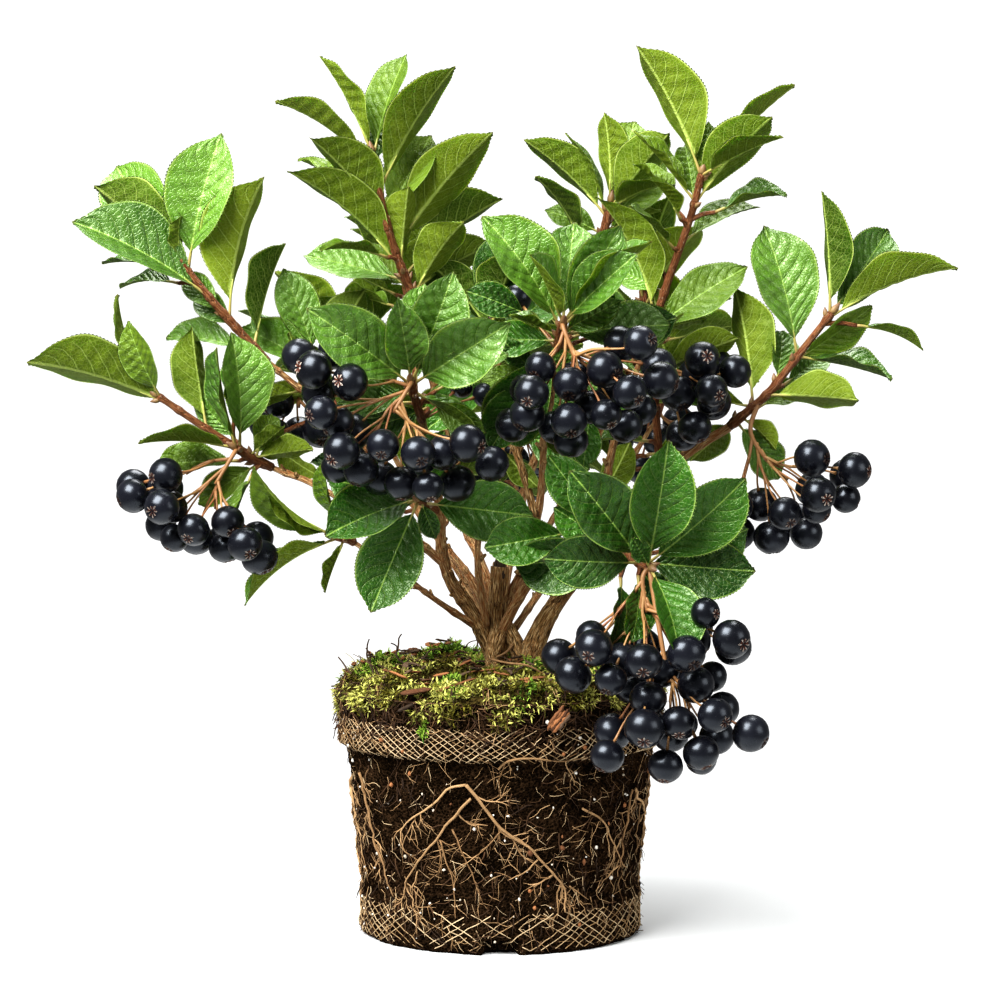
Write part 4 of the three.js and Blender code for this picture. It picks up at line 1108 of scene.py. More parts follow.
def bark_finish(name, ridge, body, furrow, young, fineness):
    """Bark whose age goes by tone: pale ridges and dark furrows when old, smooth and red when young."""
    tree, shader = new_finish(name, Specular_IOR_Level=0.2)
    mark = mark_of(tree)
    tone = tone_of(tree)
    fibres = placed_group(tree, "fibres", {"Mark": mark, "Fineness": fineness, "Length": 11})
    old = mixed(tree, stepped(tree, fibres["Fibres"], 0.34, 0.46), furrow, body)
    old = mixed(tree, stepped(tree, fibres["Fibres"], 0.5, 0.64), old, ridge)
    old = mixed(tree, stepped(tree, fibres["Patches"], 0.5, 0.75, 0, 0.5), old, young)
    lenticels = stepped(tree, cells(tree, stretched(tree, mark, (0.55, 0.55, 0.3)), 1.0), 0.12, 0.24, 1, 0)
    skin = mixed(tree, stepped(tree, fibres["Fibres"], 0.38, 0.72), young, ridge)
    skin = mixed(tree, times(tree, lenticels, 0.5), skin, LENTICELS)
    age = stepped(tree, times_plus(tree, fibres["Patches"], 0.5, tone), 0.45, 1.1)
    bark = mixed(tree, age, skin, old)
    bark = mixed(tree, times(tree, fibres["Cracks"], times(tree, age, 0.4)), bark, furrow)
    height = worked(tree, "SUBTRACT", fibres["Fibres"], times(tree, fibres["Cracks"], 0.5))
    height = times_plus(tree, lenticels, 0.25, height)
    roughness = stepped(tree, age, 0, 1, 0.5, 0.82)
    join(tree, shader, Base_Color=bark, Roughness=roughness, Normal=bumped(tree, height, 1.8))


def wood_finish(name, pale, dark, fineness):
    """Split or cut wood, and roots: plain fibres of two colours."""
    tree, shader = new_finish(name, Roughness=0.75, Specular_IOR_Level=0.2)
    fibres = placed_group(tree, "fibres", {"Mark": mark_of(tree), "Fineness": fineness, "Length": 6})
    share = times_plus(tree, fibres["Fibres"], 0.9, tone_less(tree, 0.45))
    skin = mixed(tree, share, pale, dark)
    join(tree, shader, Base_Color=skin, Normal=bumped(tree, fibres["Fibres"], 0.3))


def earth_finish(name, dark, light, fleck, depth):
    """Soil or the felt of moss: crumbs of two colours with some flecks."""
    tree, shader = new_finish(name, Roughness=0.92, Specular_IOR_Level=0.0)
    crumbs = placed_group(tree, "crumbs", {"Place": place_of(tree)})
    share = times(tree, crumbs["Crumbs"], crumbs["Patches"])
    soil = mixed(tree, stepped(tree, share, 0.1, 0.5), dark, light)
    soil = mixed(tree, times(tree, crumbs["Specks"], 0.3), soil, fleck)
    height = worked(tree, "SUBTRACT", crumbs["Patches"], crumbs["Crumbs"])
    join(tree, shader, Base_Color=soil, Normal=bumped(tree, height, depth))


def berry_finish():
    """Blue-black skin with a thin uneven bloom and fine dots."""
    tint = colour((0.82, 0.9, 1))
    tree, shader = new_finish("berry_skin", IOR=1.55, Specular_IOR_Level=0.36, Specular_Tint=tint)
    place = place_of(tree)
    patches = noise(tree, place, 130, 3)
    dot = stepped(tree, cells(tree, place, 700), 0.08, 0.2, 1, 0)
    bloom = times_plus(tree, tone_of(tree), 0.5, times(tree, patches, 0.6))
    skin = mixed(tree, bloom, *BERRY_SKIN)
    skin = mixed(tree, times(tree, dot, 0.12), skin, BERRY_DOTS)
    roughness = times_plus(tree, patches, 0.16, 0.2)
    join(tree, shader, Base_Color=skin, Roughness=roughness, Normal=bumped(tree, patches, 0.05))


def plain_finish(name, first, second, roughness, scale):
    """A small thing's finish: two colours in patches of a given fineness."""
    tree, shader = new_finish(name, Roughness=roughness, Specular_IOR_Level=0.2)
    patches = noise(tree, place_of(tree), scale, 4)
    # On moss shoots the tone also carries painted shade, darker deeper in a cushion.
    share = times_plus(tree, patches, 0.8, tone_less(tree, 0.4))
    join(tree, shader, Base_Color=mixed(tree, share, first, second), Normal=bumped(tree, patches, 0.2))


def make_finishes():
    """Every finish of the plant and its root ball."""
    kinds = [
        (leaf_finish, LEAF_SIDES), (stalk_finish, STALKS), (bark_finish, BARKS), (wood_finish, WOODS),
        (earth_finish, EARTHS), (plain_finish, SMALL_THINGS),
    ]
    for kind, rows in kinds:
        for row in rows:
            kind(*row)
    berry_finish()


def finish_of(name):
    return bpy.data.materials[name]


# Leaves

def blade_width(along, taper):
    """Half the blade's width at shares of its length: widest past the middle, with a sharp drawn-out tip."""
    along = np.clip(along, 0, 1)
    belly = along * (1 - along) ** taper
    widest = (1 / (1 + taper)) * (taper / (1 + taper)) ** taper
    drawn = 1 - 0.5 * swelling(along, 0.975, 0.06)
    return belly * drawn / widest


def turned_to_stem(pose, axis, rng):
    """A leaf's pose with its upper side turned a little towards its stem, more where its underside shows."""
    foot, along, up = pose
    roll = math.radians(rng.uniform(*(LEAF_ROLL if up[1] < 0 else LEAF_ROLL_UNDER)))
    return foot, along, unit(up * math.cos(roll) + square_to(axis, along) * math.sin(roll))


def both_triangles(quads):
    """Each four-sided face as two triangles, cut the same way on a leaf's two sides."""
    return np.concatenate([quads[:, [0, 1, 2]], quads[:, [0, 2, 3]]])


def leaf_form(rng, finish):
    """How one leaf differs from the next. The dark leaves are the broad and blunt ones."""
    broad = LEAF_BROAD.get(finish, 0.5)
    form = {name: rng.uniform(*ends) for name, ends in LEAF_PLAY.items()}
    form["taper"] *= between(LEAF_TAPERS, broad)
    form["width"] *= between(LEAF_WIDTHS, broad)
    form["fold"] *= LEAF_FOLD
    form["arch"] *= LEAF_ARCH
    form["twist"] = math.radians(form["twist"])
    return form


def blade_places(pose, length, form, along, across):
    """Places on the upper side, from shares along the blade and across it."""
    foot, way, up = pose
    side = np.cross(way, up)
    share = LEAF_STALK + (1 - LEAF_STALK) * along
    reach = across * (LEAF_HALF_WIDTH * length * form["width"] * blade_width(along, form["taper"]) + 0.12)
    spread = np.sqrt(reach**2 + FOLD_ROUND) - math.sqrt(FOLD_ROUND)
    arch = form["arch"] * 4 * share * (1 - share) * length
    outward = np.abs(across)
    veins = np.cos(2 * np.pi * LEAF_VEINS * (along - VEIN_SWEEP[0] * outward ** VEIN_SWEEP[1]))
    quilt = -LEAF_QUILT * veins * np.sin(np.pi * outward ** 0.8) * np.sin(np.pi * along)
    wave = form["wave"] * np.sin(along * 15 + form["phase"] + 2 * across) * outward ** 2
    rise = arch + form["fold"] * spread + quilt + wave
    turn = form["twist"] * along
    level = reach * np.cos(turn)
    lift = rise + reach * np.sin(turn)
    outer = np.multiply.outer
    return foot + outer(share * length, way) + outer(level, side) + outer(lift, up)


def leaf(heap, pose, length, rng, finishes):
    """A blade with its two sides, its veins in relief, a toothed edge, and its stalk."""
    upper, under = finishes
    form = leaf_form(rng, upper)
    columns = len(LEAF_COLUMNS)
    along, across = np.meshgrid(np.linspace(0.0, LAST_LEAF_ROW, LEAF_ROWS), LEAF_COLUMNS, indexing="ij")
    top = blade_places(pose, length, form, along, across)
    rib = 0.55 * swelling(across, 0, 0.1) * (1 - along)
    below = top - np.multiply.outer(LEAF_THICK * (1 - np.abs(across)) + rib, pose[2])
    tip = blade_places(pose, length, form, np.array([1.0]), np.array([0.0]))
    quads = both_triangles(grid_faces(LEAF_ROWS, columns))
    size = LEAF_ROWS * columns
    last = size - columns + np.arange(columns)
    fan = np.stack([last[:-1], last[1:], np.full(columns - 1, 2 * size)], axis=-1)
    teeth, tooth_faces = leaf_teeth(top, 2 * size + 1)
    marks = np.stack([across, along, np.zeros_like(across)], axis=-1).reshape(-1, 3)
    tooth_marks = np.tile([1.0, 0.5, 0.0], (len(teeth), 1))
    heap.add(
        np.concatenate([top.reshape(-1, 3), below.reshape(-1, 3), tip, teeth]),
        [
            (quads, upper),
            (fan, upper),
            (quads[:, ::-1] + size, under),
            (fan[:, ::-1] + [0, size, size], under),
            (tooth_faces, upper),
        ],
        np.concatenate([marks, marks, [[0, 1, 0]], tooth_marks]),
        form["tone"],
    )
    foot, up = pose[0], pose[2]
    ribs = blade_places(pose, length, form, np.array([0.04, 0.16]), np.array([0.0, 0.0]))
    stalk = curve([foot, foot * 0.45 + ribs[0] * 0.55, ribs[0] - 0.35 * up, ribs[1] - 0.55 * up], 6)
    tube(heap, stalk, np.linspace(0.85, 0.4, 6), 6, "leaf_stalk", tone=np.linspace(0.9, 0.1, 6))


def leaf_teeth(top, first):
    """A small forward-pointing tooth on each stretch of both edges."""
    columns = top.shape[1]
    places = []
    faces = []
    for column, inner_column in ((0, 1), (columns - 1, columns - 2)):
        edge = top[:, column]
        out = edge - top[:, inner_column]
        out /= np.maximum(np.linalg.norm(out, axis=1), 0.01)[:, None]
        places.append(edge[1:-1] * 0.2 + edge[2:] * 0.8 + out[2:] * TOOTH)
        rows = np.arange(1, LEAF_ROWS - 1)
        apex = first + len(rows) * len(faces) + np.arange(len(rows))
        face = np.stack([rows * columns + column, (rows + 1) * columns + column, apex], axis=-1)
        faces.append(face if column else face[:, ::-1])
    return np.concatenate(places), np.concatenate(faces)


def facing(along, face):
    """The upper side's direction of a leaf that shows it, or turned about its own length in degrees."""
    return turned_about(square_to(TO_FRONT, along), along, face)


def shown_pose(spec, shift):
    _, bearing, _, lean, face = spec
    along = direction(bearing, lean + shift)
    return along, facing(along, face)


def spiral_pose(axis, index, share, play, shift):
    side = unit(np.cross(TO_BACK, axis))
    side = turned_about(side, axis, SPIRAL_TURN * index + SPIRAL_PLAY * play)
    opened = math.radians(between(SPIRAL_OPEN, share) + shift)
    along = axis * math.cos(opened) + side * math.sin(opened)
    return along, square_to(axis, along)


def source_leaf(foot, length, pose_at, corners):
    """The leaf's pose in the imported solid, found by its tip, or nothing where the source left it out."""
    for shift in LEAF_SHIFTS:
        along, up = pose_at(shift)
        if np.min(np.linalg.norm(corners - (foot + along * length), axis=1)) < TIP_MATCH:
            return foot, along, up
    return None


def leaves_of(shoot, seed, corners):
    """Every leaf of a mass in the source's order: its pose and its length."""
    random = seeded(seed)
    rng = np.random.default_rng(seed + SEEDS["rolled leaves"])
    found = []
    for spec in shoot["leaves"]:
        foot = curve_point(shoot["stem"], spec[0])
        pose = source_leaf(foot, spec[2], lambda shift: shown_pose(spec, shift), corners)
        if pose:
            pose = turned_to_stem(pose, curve_direction(shoot["stem"], spec[0]), rng)
        found.append((pose, spec[2]))
    for i in range(shoot["more"]):
        share = between(SPIRAL_SHARES, (i + 1) / shoot["more"])
        axis = curve_direction(shoot["stem"], share)
        length = between(SPIRAL_LENGTHS, random())
        play = random()
        foot = curve_point(shoot["stem"], share)
        pose = source_leaf(foot, length, lambda shift: spiral_pose(axis, i, share, play, shift), corners)
        found.append((pose, length))
    return [(pose, length) for pose, length in found if pose is not None]


def leaf_spots(pose, length):
    """Some places on a leaf, to keep other things off it."""
    foot, along, up = pose
    side = np.cross(along, up)
    shares = np.array([0.3, 0.5, 0.7, 0.9])
    rib = foot + np.outer(shares * length, along)
    wide = side * length * 0.14
    return np.concatenate([rib, rib[:3] + wide, rib[:3] - wide])


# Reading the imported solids

def corners_of(node):
    """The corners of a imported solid, in millimetres."""
    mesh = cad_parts[node].data
    places = np.zeros(len(mesh.vertices) * 3)
    mesh.vertices.foreach_get("co", places)
    return places.reshape(-1, 3) / MM


def box_of(node):
    """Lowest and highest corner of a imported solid, in millimetres."""
    low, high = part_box(node)
    return np.array(low) / MM, np.array(high) / MM


# Fruit

def berry_shape():
    """One berry of radius 1, its stalk end down and its calyx up: places, and faces for each finish."""
    rings = np.concatenate([[0.12], np.linspace(0.35, 2.45, 9), [2.62, 2.78, 2.93, 3.05]])
    left = math.pi - rings
    reach = 1 - 0.1 * swelling(rings, 0, 0.25) - 0.17 * swelling(left, 0, 0.22)
    reach += 0.035 * swelling(left, 0.4, 0.1)
    turn = turns(BERRY_SIDES)
    flat = (reach * np.sin(rings))[:, None]
    tall = np.repeat((-reach * np.cos(rings) * BERRY_FLAT)[:, None], BERRY_SIDES, 1)
    skin = np.stack([flat * np.cos(turn), flat * np.sin(turn), tall], axis=-1).reshape(-1, 3)
    places = [*skin, [0, 0, skin[0, 2]], [0, 0, skin[-1, 2]]]
    sepals = []
    flecks = []
    for i in range(SEPALS):
        middle = i * math.tau / SEPALS
        first = len(places)
        places += [on_crown(0.34, middle - 0.4, 0.98), on_crown(0.34, middle + 0.4, 0.98)]
        places += [on_crown(0.25, middle, 1.03), on_crown(0.04, middle + 0.2, 0.9)]
        sepals += [(first, first + 2, first + 3), (first + 2, first + 1, first + 3)]
        sepals.append((first, first + 1, first + 2))
    for i in range(CROWN_FLECKS):
        middle = i * math.tau / CROWN_FLECKS + 0.25
        first = len(places)
        outer = 0.34 + 0.05 * (i % 3)
        places += [on_crown(0.14, middle, 0.96), on_crown(outer - 0.07, middle - 0.16, 1.025)]
        places += [on_crown(outer, middle, 1.03), on_crown(outer - 0.07, middle + 0.13, 1.025)]
        flecks.append((first, first + 1, first + 2, first + 3))
    caps = np.concatenate(end_fans(len(rings), BERRY_SIDES))
    sheets = [
        (grid_faces(len(rings), BERRY_SIDES, True)[:, ::-1], "berry_skin"),
        (caps[:, ::-1], "berry_skin"),
        (np.array(sepals), "calyx"),
        (np.array(flecks), "calyx_pale"),
    ]
    return np.array(places), sheets


def on_crown(opening, turn, reach):
    """A place round the calyx end of a berry of radius 1."""
    flat = math.sin(opening) * reach
    return [flat * math.cos(turn), flat * math.sin(turn), math.cos(opening) * reach * BERRY_FLAT]


def berry(heap, shape, spot, radius, stalk, rng):
    """A berry whose calyx looks away from its stalk."""
    axis = unit(spot - stalk)
    across = square_to(np.array([math.cos(rng.uniform(0, 6)), 0.3, math.sin(rng.uniform(0, 6))]), axis)
    frame_rows = np.stack([across, np.cross(axis, across), axis])
    places, sheets = shape
    squeeze = np.array([1, rng.uniform(0.96, 1.02), rng.uniform(0.95, 1.01)])
    heap.add((places * squeeze * radius) @ frame_rows + spot, sheets, tone=rng.uniform(0, 1))


def fan_spot(bunch, random):
    bearing = between(bunch["bearings"], random())
    lean = between(bunch["leans"], random())
    return direction(bearing, lean) * between(bunch["reach"], random()) + bunch["hub"]


def is_apart(spot, radius, berries, spacing):
    return all(math.dist(spot, other) > (radius + size) * spacing for other, size in berries)


def berries_of(bunch, corners):
    """The bunch's berries as the source draws them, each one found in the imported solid."""
    random = seeded(bunch["seed"])
    berries = []
    for _ in range(bunch["count"] * BERRY_TRIES):
        spot = fan_spot(bunch, random)
        radius = BERRY_RADIUS + (random() - 0.5) * 2 * BERRY_SPREAD
        away = np.linalg.norm(corners - spot, axis=1) - radius * BERRY_CORNERS_OUT
        seen = np.count_nonzero(np.abs(away) < CORNER_MATCH)
        if seen >= CORNERS_SEEN and is_apart(spot, radius, berries, BERRY_SPACING):
            berries.append((spot, radius))
    return berries


def filled_up(bunch, berries, leaf_places, box):
    """More berries in the gaps of the bunch, inside its mass's reach."""
    rng = np.random.default_rng(bunch["seed"])
    wanted = len(berries) + round(bunch["count"] * EXTRA_BERRIES)
    berries = list(berries)
    for _ in range(EXTRA_TRIES):
        spot = fan_spot(bunch, rng.random)
        radius = BERRY_RADIUS - rng.uniform(*EXTRA_SMALLER)
        inside = np.all(spot - radius > box[0]) and np.all(spot + radius < box[1])
        free = np.min(np.linalg.norm(leaf_places - spot, axis=1)) > radius + LEAF_CLEARANCE
        if inside and free and is_apart(spot, radius, berries, EXTRA_SPACING) and len(berries) < wanted:
            berries.append((spot, radius))
    return berries


def bunch_of_fruit(fruit, twigs, bunch, root, berries, shape):
    """A stalk to the hub, a short axis, its branches, and a berry at the end of each last stalk."""
    rng = np.random.default_rng(bunch["seed"] + SEEDS["bunch"])
    hub = np.array(bunch["hub"], float)
    middle = np.mean([spot for spot, _ in berries], axis=0)
    axis_tip = hub + unit(middle - hub) * AXIS_LENGTH
    tube(twigs, curve([root, hub, axis_tip], 14), np.linspace(1.15, 0.85, 14), 8, "fruit_stalk", tone=0.5)
    berries = sorted(berries, key=lambda b: math.atan2(b[0][0] - hub[0], hub[2] - b[0][2]))
    branches = math.ceil(len(berries) / BERRIES_PER_BRANCH)
    for i in range(branches):
        few = berries[i * BERRIES_PER_BRANCH:(i + 1) * BERRIES_PER_BRANCH]
        foot = hub + (axis_tip - hub) * ((i + 0.5) / branches)
        tip = foot + (np.mean([spot for spot, _ in few], axis=0) - foot) * BRANCH_REACH
        bow = np.cross(unit(tip - foot), [0, 1, 0]) * rng.uniform(-2, 2)
        line = curve([foot, (foot + tip) / 2 + bow, tip], 10)
        tube(twigs, line, np.linspace(0.85, 0.62, 10), 7, "fruit_stalk", tone=rng.uniform(0.1, 0.7))
        few.sort(key=lambda b: -math.dist(b[0], foot))
        for place, (spot, radius) in enumerate(few):
            start = curve_point(line[::4], LAST_STALK - place * BRANCH_STEP)
            hung_berry(fruit, twigs, shape, start, spot, radius, rng)


def hung_berry(fruit, twigs, shape, start, spot, radius, rng):
    """A berry on its own thin stalk, which swells a little where it enters the berry."""
    side = unit(np.cross(spot - start, [rng.uniform(-1, 1), 1, rng.uniform(-1, 1)]))
    bend = (start + spot) / 2 + side * rng.uniform(-1.8, 1.8)
    end = spot + unit(bend - spot) * (radius * 0.84)
    line = curve([start, bend, end], len(BERRY_STALK))
    tube(twigs, line, BERRY_STALK, 6, "fruit_stalk", tone=rng.uniform(0.1, 0.9))
    berry(fruit, shape, spot, radius, bend, rng)



# Twigs and masses

def bud(heap, foot, way, length, radius):
    """A pointed bud, closed up in its scales."""
    line = foot + np.multiply.outer(np.linspace(0, length, len(BUD_SHAPE)), way)
    tube(heap, line, radius * BUD_SHAPE, 8, "bud", tone=np.linspace(0.2, 0.9, len(BUD_SHAPE)))


def stem_twig(heap, shoot, seed):
    """The mass's own twig, with a swelling and a bud by each leaf and a bud at its tip."""
    length = math.dist(shoot["stem"][0], shoot["stem"][-1])
    rings = max(12, int(length / 1.2))
    shares = np.linspace(0, 1, rings)
    radii = np.linspace(2.0, 1.45, rings)
    knots = [spec[0] for spec in shoot["leaves"]] or list(np.linspace(*SPIRAL_SHARES, shoot["more"]))
    for knot in knots:
        radii = radii + 0.4 * swelling((shares - knot) * length, 0, 1.4)
    line = curve(shoot["stem"], rings)
    tube(heap, line, radii, 12, "twig_bark", tone=np.linspace(0.35, 0.05, rings))
    rng = np.random.default_rng(seed)
    bud(heap, line[-1], curve_direction(shoot["stem"], 1), 6, 1.6)
    for knot in knots[::2]:
        axis = curve_direction(shoot["stem"], knot)
        side = turned_about(square_to(np.array([0.0, 1.0, 0.2]), axis), axis, rng.uniform(0, 360))
        bud(heap, curve_point(shoot["stem"], knot) + side * 1.2, unit(side + axis), 4.2, 1.15)


def side_twig(heap, foot, tip, bend, radii, rings, tone):
    """A thin bent twig from a stem to the foot of a leaf."""
    line = curve([foot, (foot + tip) / 2 + bend, tip], rings)
    tube(heap, line, np.linspace(*radii, rings), 8, "twig_bark", tone=tone)


def least_gap(places, others):
    return np.min(np.linalg.norm(places[:, None] - others[None], axis=2))


def fine_twigs(leaves, twigs, shoot, seed, taken, box):
    """Side twigs too fine for the source, each with a small leaf, inside the reach of the mass."""
    rng = np.random.default_rng(seed + SEEDS["fine twigs"])
    front = min(point[1] for point in shoot["stem"]) - FINE_FORWARD
    made = 0
    for i in range(shoot["fine"] * FINE_TRIES):
        share = rng.uniform(0.05, 0.95)
        axis = curve_direction(shoot["stem"], share)
        side = turned_about(unit(np.cross(TO_BACK, axis)), axis, SPIRAL_TURN * (i + 0.5))
        foot = curve_point(shoot["stem"], share)
        tip = foot + unit(side + axis * 0.7) * rng.uniform(4, 15)
        length = rng.uniform(*FINE_LENGTHS)
        along = unit(side + axis * rng.uniform(0.2, 1.1))
        pose = (tip, along, square_to(axis, along))
        places = leaf_spots(pose, length)
        inside = np.all(places > box[0]) and np.all(places < box[1]) and np.min(places[:, 1]) > front
        if made < shoot["fine"] and inside and least_gap(places, taken) > FINE_GAP:
            made += 1
            side_twig(twigs, foot, tip, axis, (1.2, 0.95), 8, 0.05)
            leaf(leaves, pose, length, rng, dealt_greens(shoot["green"], rng))
            taken = np.concatenate([taken, places])
    return taken


def seen_at(across, down, depth):
    """The place at a depth that the camera sees at a pixel of the picture."""
    pitch = math.radians(CAMERA_PITCH)
    ahead = np.array([0, math.cos(pitch), -math.sin(pitch)])
    upward = np.array([0, math.sin(pitch), math.cos(pitch)])
    focal = CAMERA_LENS / SENSOR_WIDTH * PICTURE_SIDE
    middle = PICTURE_SIDE / 2
    ray = ahead + upward * (middle - down) / focal + np.array([1, 0, 0]) * (across - middle) / focal
    return np.array(CAMERA_PLACE) + ray * (depth - CAMERA_PLACE[1]) / ray[1]


def nearest_on(stem, spot):
    line = curve(stem, 30)
    return line[np.argmin(np.linalg.norm(line - spot, axis=1))]


def leaves_between(leaves, twigs, shoot, seed):
    """The leaves that show between the bunches, each on a fine twig from the mass's own."""
    rng = np.random.default_rng(seed + SEEDS["between"])
    spots = [np.zeros((0, 3))]
    for foot_across, foot_down, tip_across, tip_down, depth, face, green in shoot.get("between", []):
        foot = seen_at(foot_across, foot_down, depth)
        tip = seen_at(tip_across, tip_down, depth - SHOWN_LEAN)
        along = unit(tip - foot)
        length = math.dist(foot, tip)
        pose = (foot, along, facing(along, face))
        leaf(leaves, pose, length, rng, greens_for(green, rng))
        start = nearest_on(shoot["stem"], foot)
        side_twig(twigs, start, foot, -along * 1.5, (1.2, 0.9), 10, 0.05)
        spots.append(leaf_spots(pose, length))
    return np.concatenate(spots)


def greens_for(green, rng):
    """The finishes of a leaf's two sides, by how dark it is."""
    if green < 0.5:
        return "leaf_fresh", "underside_pale"
    if green < 1.35:
        return "leaf_green", "underside_pale" if rng.random() < 0.6 else "underside_green"
    return "leaf_dark", "underside_green"


def dealt_greens(green, rng):
    """The finishes of a leaf's two sides, darker the greener its spray is."""
    return greens_for(green + rng.uniform(-GREEN_PLAY, GREEN_PLAY), rng)


def mass_of_foliage(shoot, seed, shape):
    """Leaves, twigs and fruit of one mass, grown by the source's rule and carried on to finer twigs."""
    name = shoot["name"].removeprefix("foliage_")
    corners = corners_of(shoot["name"])
    box = box_of(shoot["name"])
    rng = np.random.default_rng(seed)
    leaves = Heap("leaves_" + name, "leaves", LEAF_FINISHES)
    twigs = Heap("twigs_" + name, "bark", ["twig_bark", "bud", "fruit_stalk"])
    fruit = Heap("fruit_" + name, "fruit", ["berry_skin", "calyx", "calyx_pale"])
    found = leaves_of(shoot, seed, corners)
    for pose, length in found:
        leaf(leaves, pose, length, rng, dealt_greens(shoot["green"], rng))
    stem_twig(twigs, shoot, seed)
    leaf_places = np.concatenate([leaf_spots(pose, length) for pose, length in found])
    shown = leaves_between(leaves, twigs, shoot, seed)
    bunches = shoot.get("fruit", [])
    berries = [filled_up(bunch, berries_of(bunch, corners), leaf_places, box) for bunch in bunches]
    for bunch, spots in zip(bunches, berries):
        root = curve_point(shoot["stem"], bunch.get("root", BUNCH_ROOT))
        bunch_of_fruit(fruit, twigs, bunch, root, spots, shape)
    for across, down, depth, radius in shoot.get("lone", []):
        spot = seen_at(across, down, depth)
        hung_berry(fruit, twigs, shape, nearest_on(shoot["stem"], spot), spot, radius, rng)
    spots = [np.array([spot for spot, _ in few]) for few in berries]
    taken = fine_twigs(leaves, twigs, shoot, seed, np.concatenate([leaf_places, shown, *spots]), box)
    leaves.make(shoot["name"])
    twigs.make(shoot["name"])
    if bunches:
        fruit.make(shoot["name"])
    return taken


def leaves_on_boughs(taken):
    """Small leaves on short spurs along the boughs that lean back, clear of the masses and of the limbs."""
    rng = np.random.default_rng(SEEDS["leafy boughs"])
    leaves = Heap("leaves_on_boughs", "leaves", LEAF_FINISHES)
    twigs = Heap("twigs_on_boughs", "bark", ["twig_bark", "bud"])
    paths = {spec["name"]: spec["path"] for spec in BOUGHS}
    limbs = {name: curve(path, 60) for name, path in paths.items()}
    for name, count in LEAFY_BOUGHS.items():
        path = paths[name]
        others = np.concatenate([line for other, line in limbs.items() if other != name])
        made = 0
        for i in range(count * FINE_TRIES):
            share = rng.uniform(*LEAFY_SHARES)
            axis = curve_direction(path, share)
            side = turned_about(square_to(np.array([1.0, 0.0, 0.1]), axis), axis, SPIRAL_TURN * i)
            foot = curve_point(path, share)
            tip = foot + unit(side + axis * 0.8) * rng.uniform(5, 16)
            along = unit(side + axis * rng.uniform(0.2, 0.9) + [0, 0, 0.2])
            length = rng.uniform(*LEAFY_LENGTHS)
            pose = (tip, along, square_to(axis, along))
            places = leaf_spots(pose, length)
            behind = np.min(places[:, 1]) > LEAFY_DEPTH and np.min(places[:, 2]) > LEAFY_LOWEST
            if made < count and behind and least_gap(places, np.concatenate([taken, others])) > LEAFY_GAP:
                made += 1
                side_twig(twigs, foot, tip, axis, (1.3, 0.95), 9, 0.1)
                bud(twigs, tip, unit(along + axis), 3.5, 1.0)
                leaf(leaves, pose, length, rng, greens_for(rng.uniform(*LEAFY_GREENS), rng))
                taken = np.concatenate([taken, places])
    leaves.make()
    twigs.make()


# Trunk and boughs

def limb(spec, seed):
    """A limb with ridged bark and low knots, older and greyer where it is thick."""
    length = sum(math.dist(a, b) for a, b in zip(spec["path"], spec["path"][1:]))
    rings = int(length / BARK_RING)
    shares = np.linspace(0, 1, rings)
    radii = between(spec["radii"], shares) + spec.get("flare", BOUGH_FLARE) * np.exp(-shares * 9)
    radii = radii * spec.get("slim", LIMB_SLIM)
    rng = np.random.default_rng(seed)
    for knot in np.arange(14, length - 4, KNOT_EVERY) + rng.uniform(-4, 4):
        radii = radii + 0.3 * swelling(shares * length, knot, 1.6)
    thick = spec["radii"][0]

    def ridges(marks):
        deep = 0.07 + 0.075 * thick
        return deep * rough(marks * [1, 1, 0.13], 1.9, seed) + 0.06 * thick * lumps(marks, 7, seed + 9)

    heap = Heap(spec["name"] + "_bark", "bark", ["old_bark", "cut_wood", "dead_twig"])
    age = np.clip((radii - 1.9) / 1.9, 0.0, 1)
    end = "cut_wood" if spec is TRUNK else "old_bark"
    sides = LIMB_SIDES.get(spec["name"], 26)
    tube(heap, curve(spec["path"], rings), radii, sides, "old_bark", end, tone=age, relief=ridges)
    spurs(heap, spec, radii, rng, length)
    if spec is TRUNK:
        sawn_end(heap, rng)
    heap.make(spec["name"])


def sawn_end(heap, rng):
    """The weathered stub in the fork, split into upright slivers of uneven length."""
    for number in range(SLIVERS):
        turn = number * 2.4
        reach = rng.uniform(1.2, 3.4)
        foot = np.array(TRUNK["path"][-1], float) + [reach * math.cos(turn), reach * math.sin(turn), -1.5]
        way = [rng.uniform(-0.12, 0.12), rng.uniform(-0.12, 0.12), 1]
        finish = "dead_twig" if number % 3 else "old_bark"
        length, width, thickness = rng.uniform(6, 11), rng.uniform(1.6, 2.6), rng.uniform(1.0, 1.6)
        splinter(heap, foot, way, length, width, thickness, finish, number)


def spurs(heap, spec, radii, rng, length):
    """Short stubs of shoots that died back, and old buds."""
    for _ in range(int(length / SPUR_EVERY)):
        share = rng.uniform(0.15, 0.92)
        radius = radii[int(share * (len(radii) - 1))]
        axis = curve_direction(spec["path"], share)
        side = turned_about(square_to(np.array([1.0, 0.1, 0.2]), axis), axis, rng.uniform(0, 360))
        foot = curve_point(spec["path"], share) + side * radius * 0.7
        way = unit(side + axis * rng.uniform(0.3, 1))
        reach = rng.uniform(1.5, 3.8)
        line = foot + np.multiply.outer(np.linspace(0, reach, len(SPUR_SHAPE)), way)
        tube(heap, line, rng.uniform(0.6, 1.0) * SPUR_SHAPE, 8, "old_bark", tone=0.7)


def bark_relief(height, shrink, size, seed):
    """Relief along a piece's own rod coordinates, drawn out along it."""
    return lambda marks: height * rough(marks * [1, 1, shrink], size, seed)


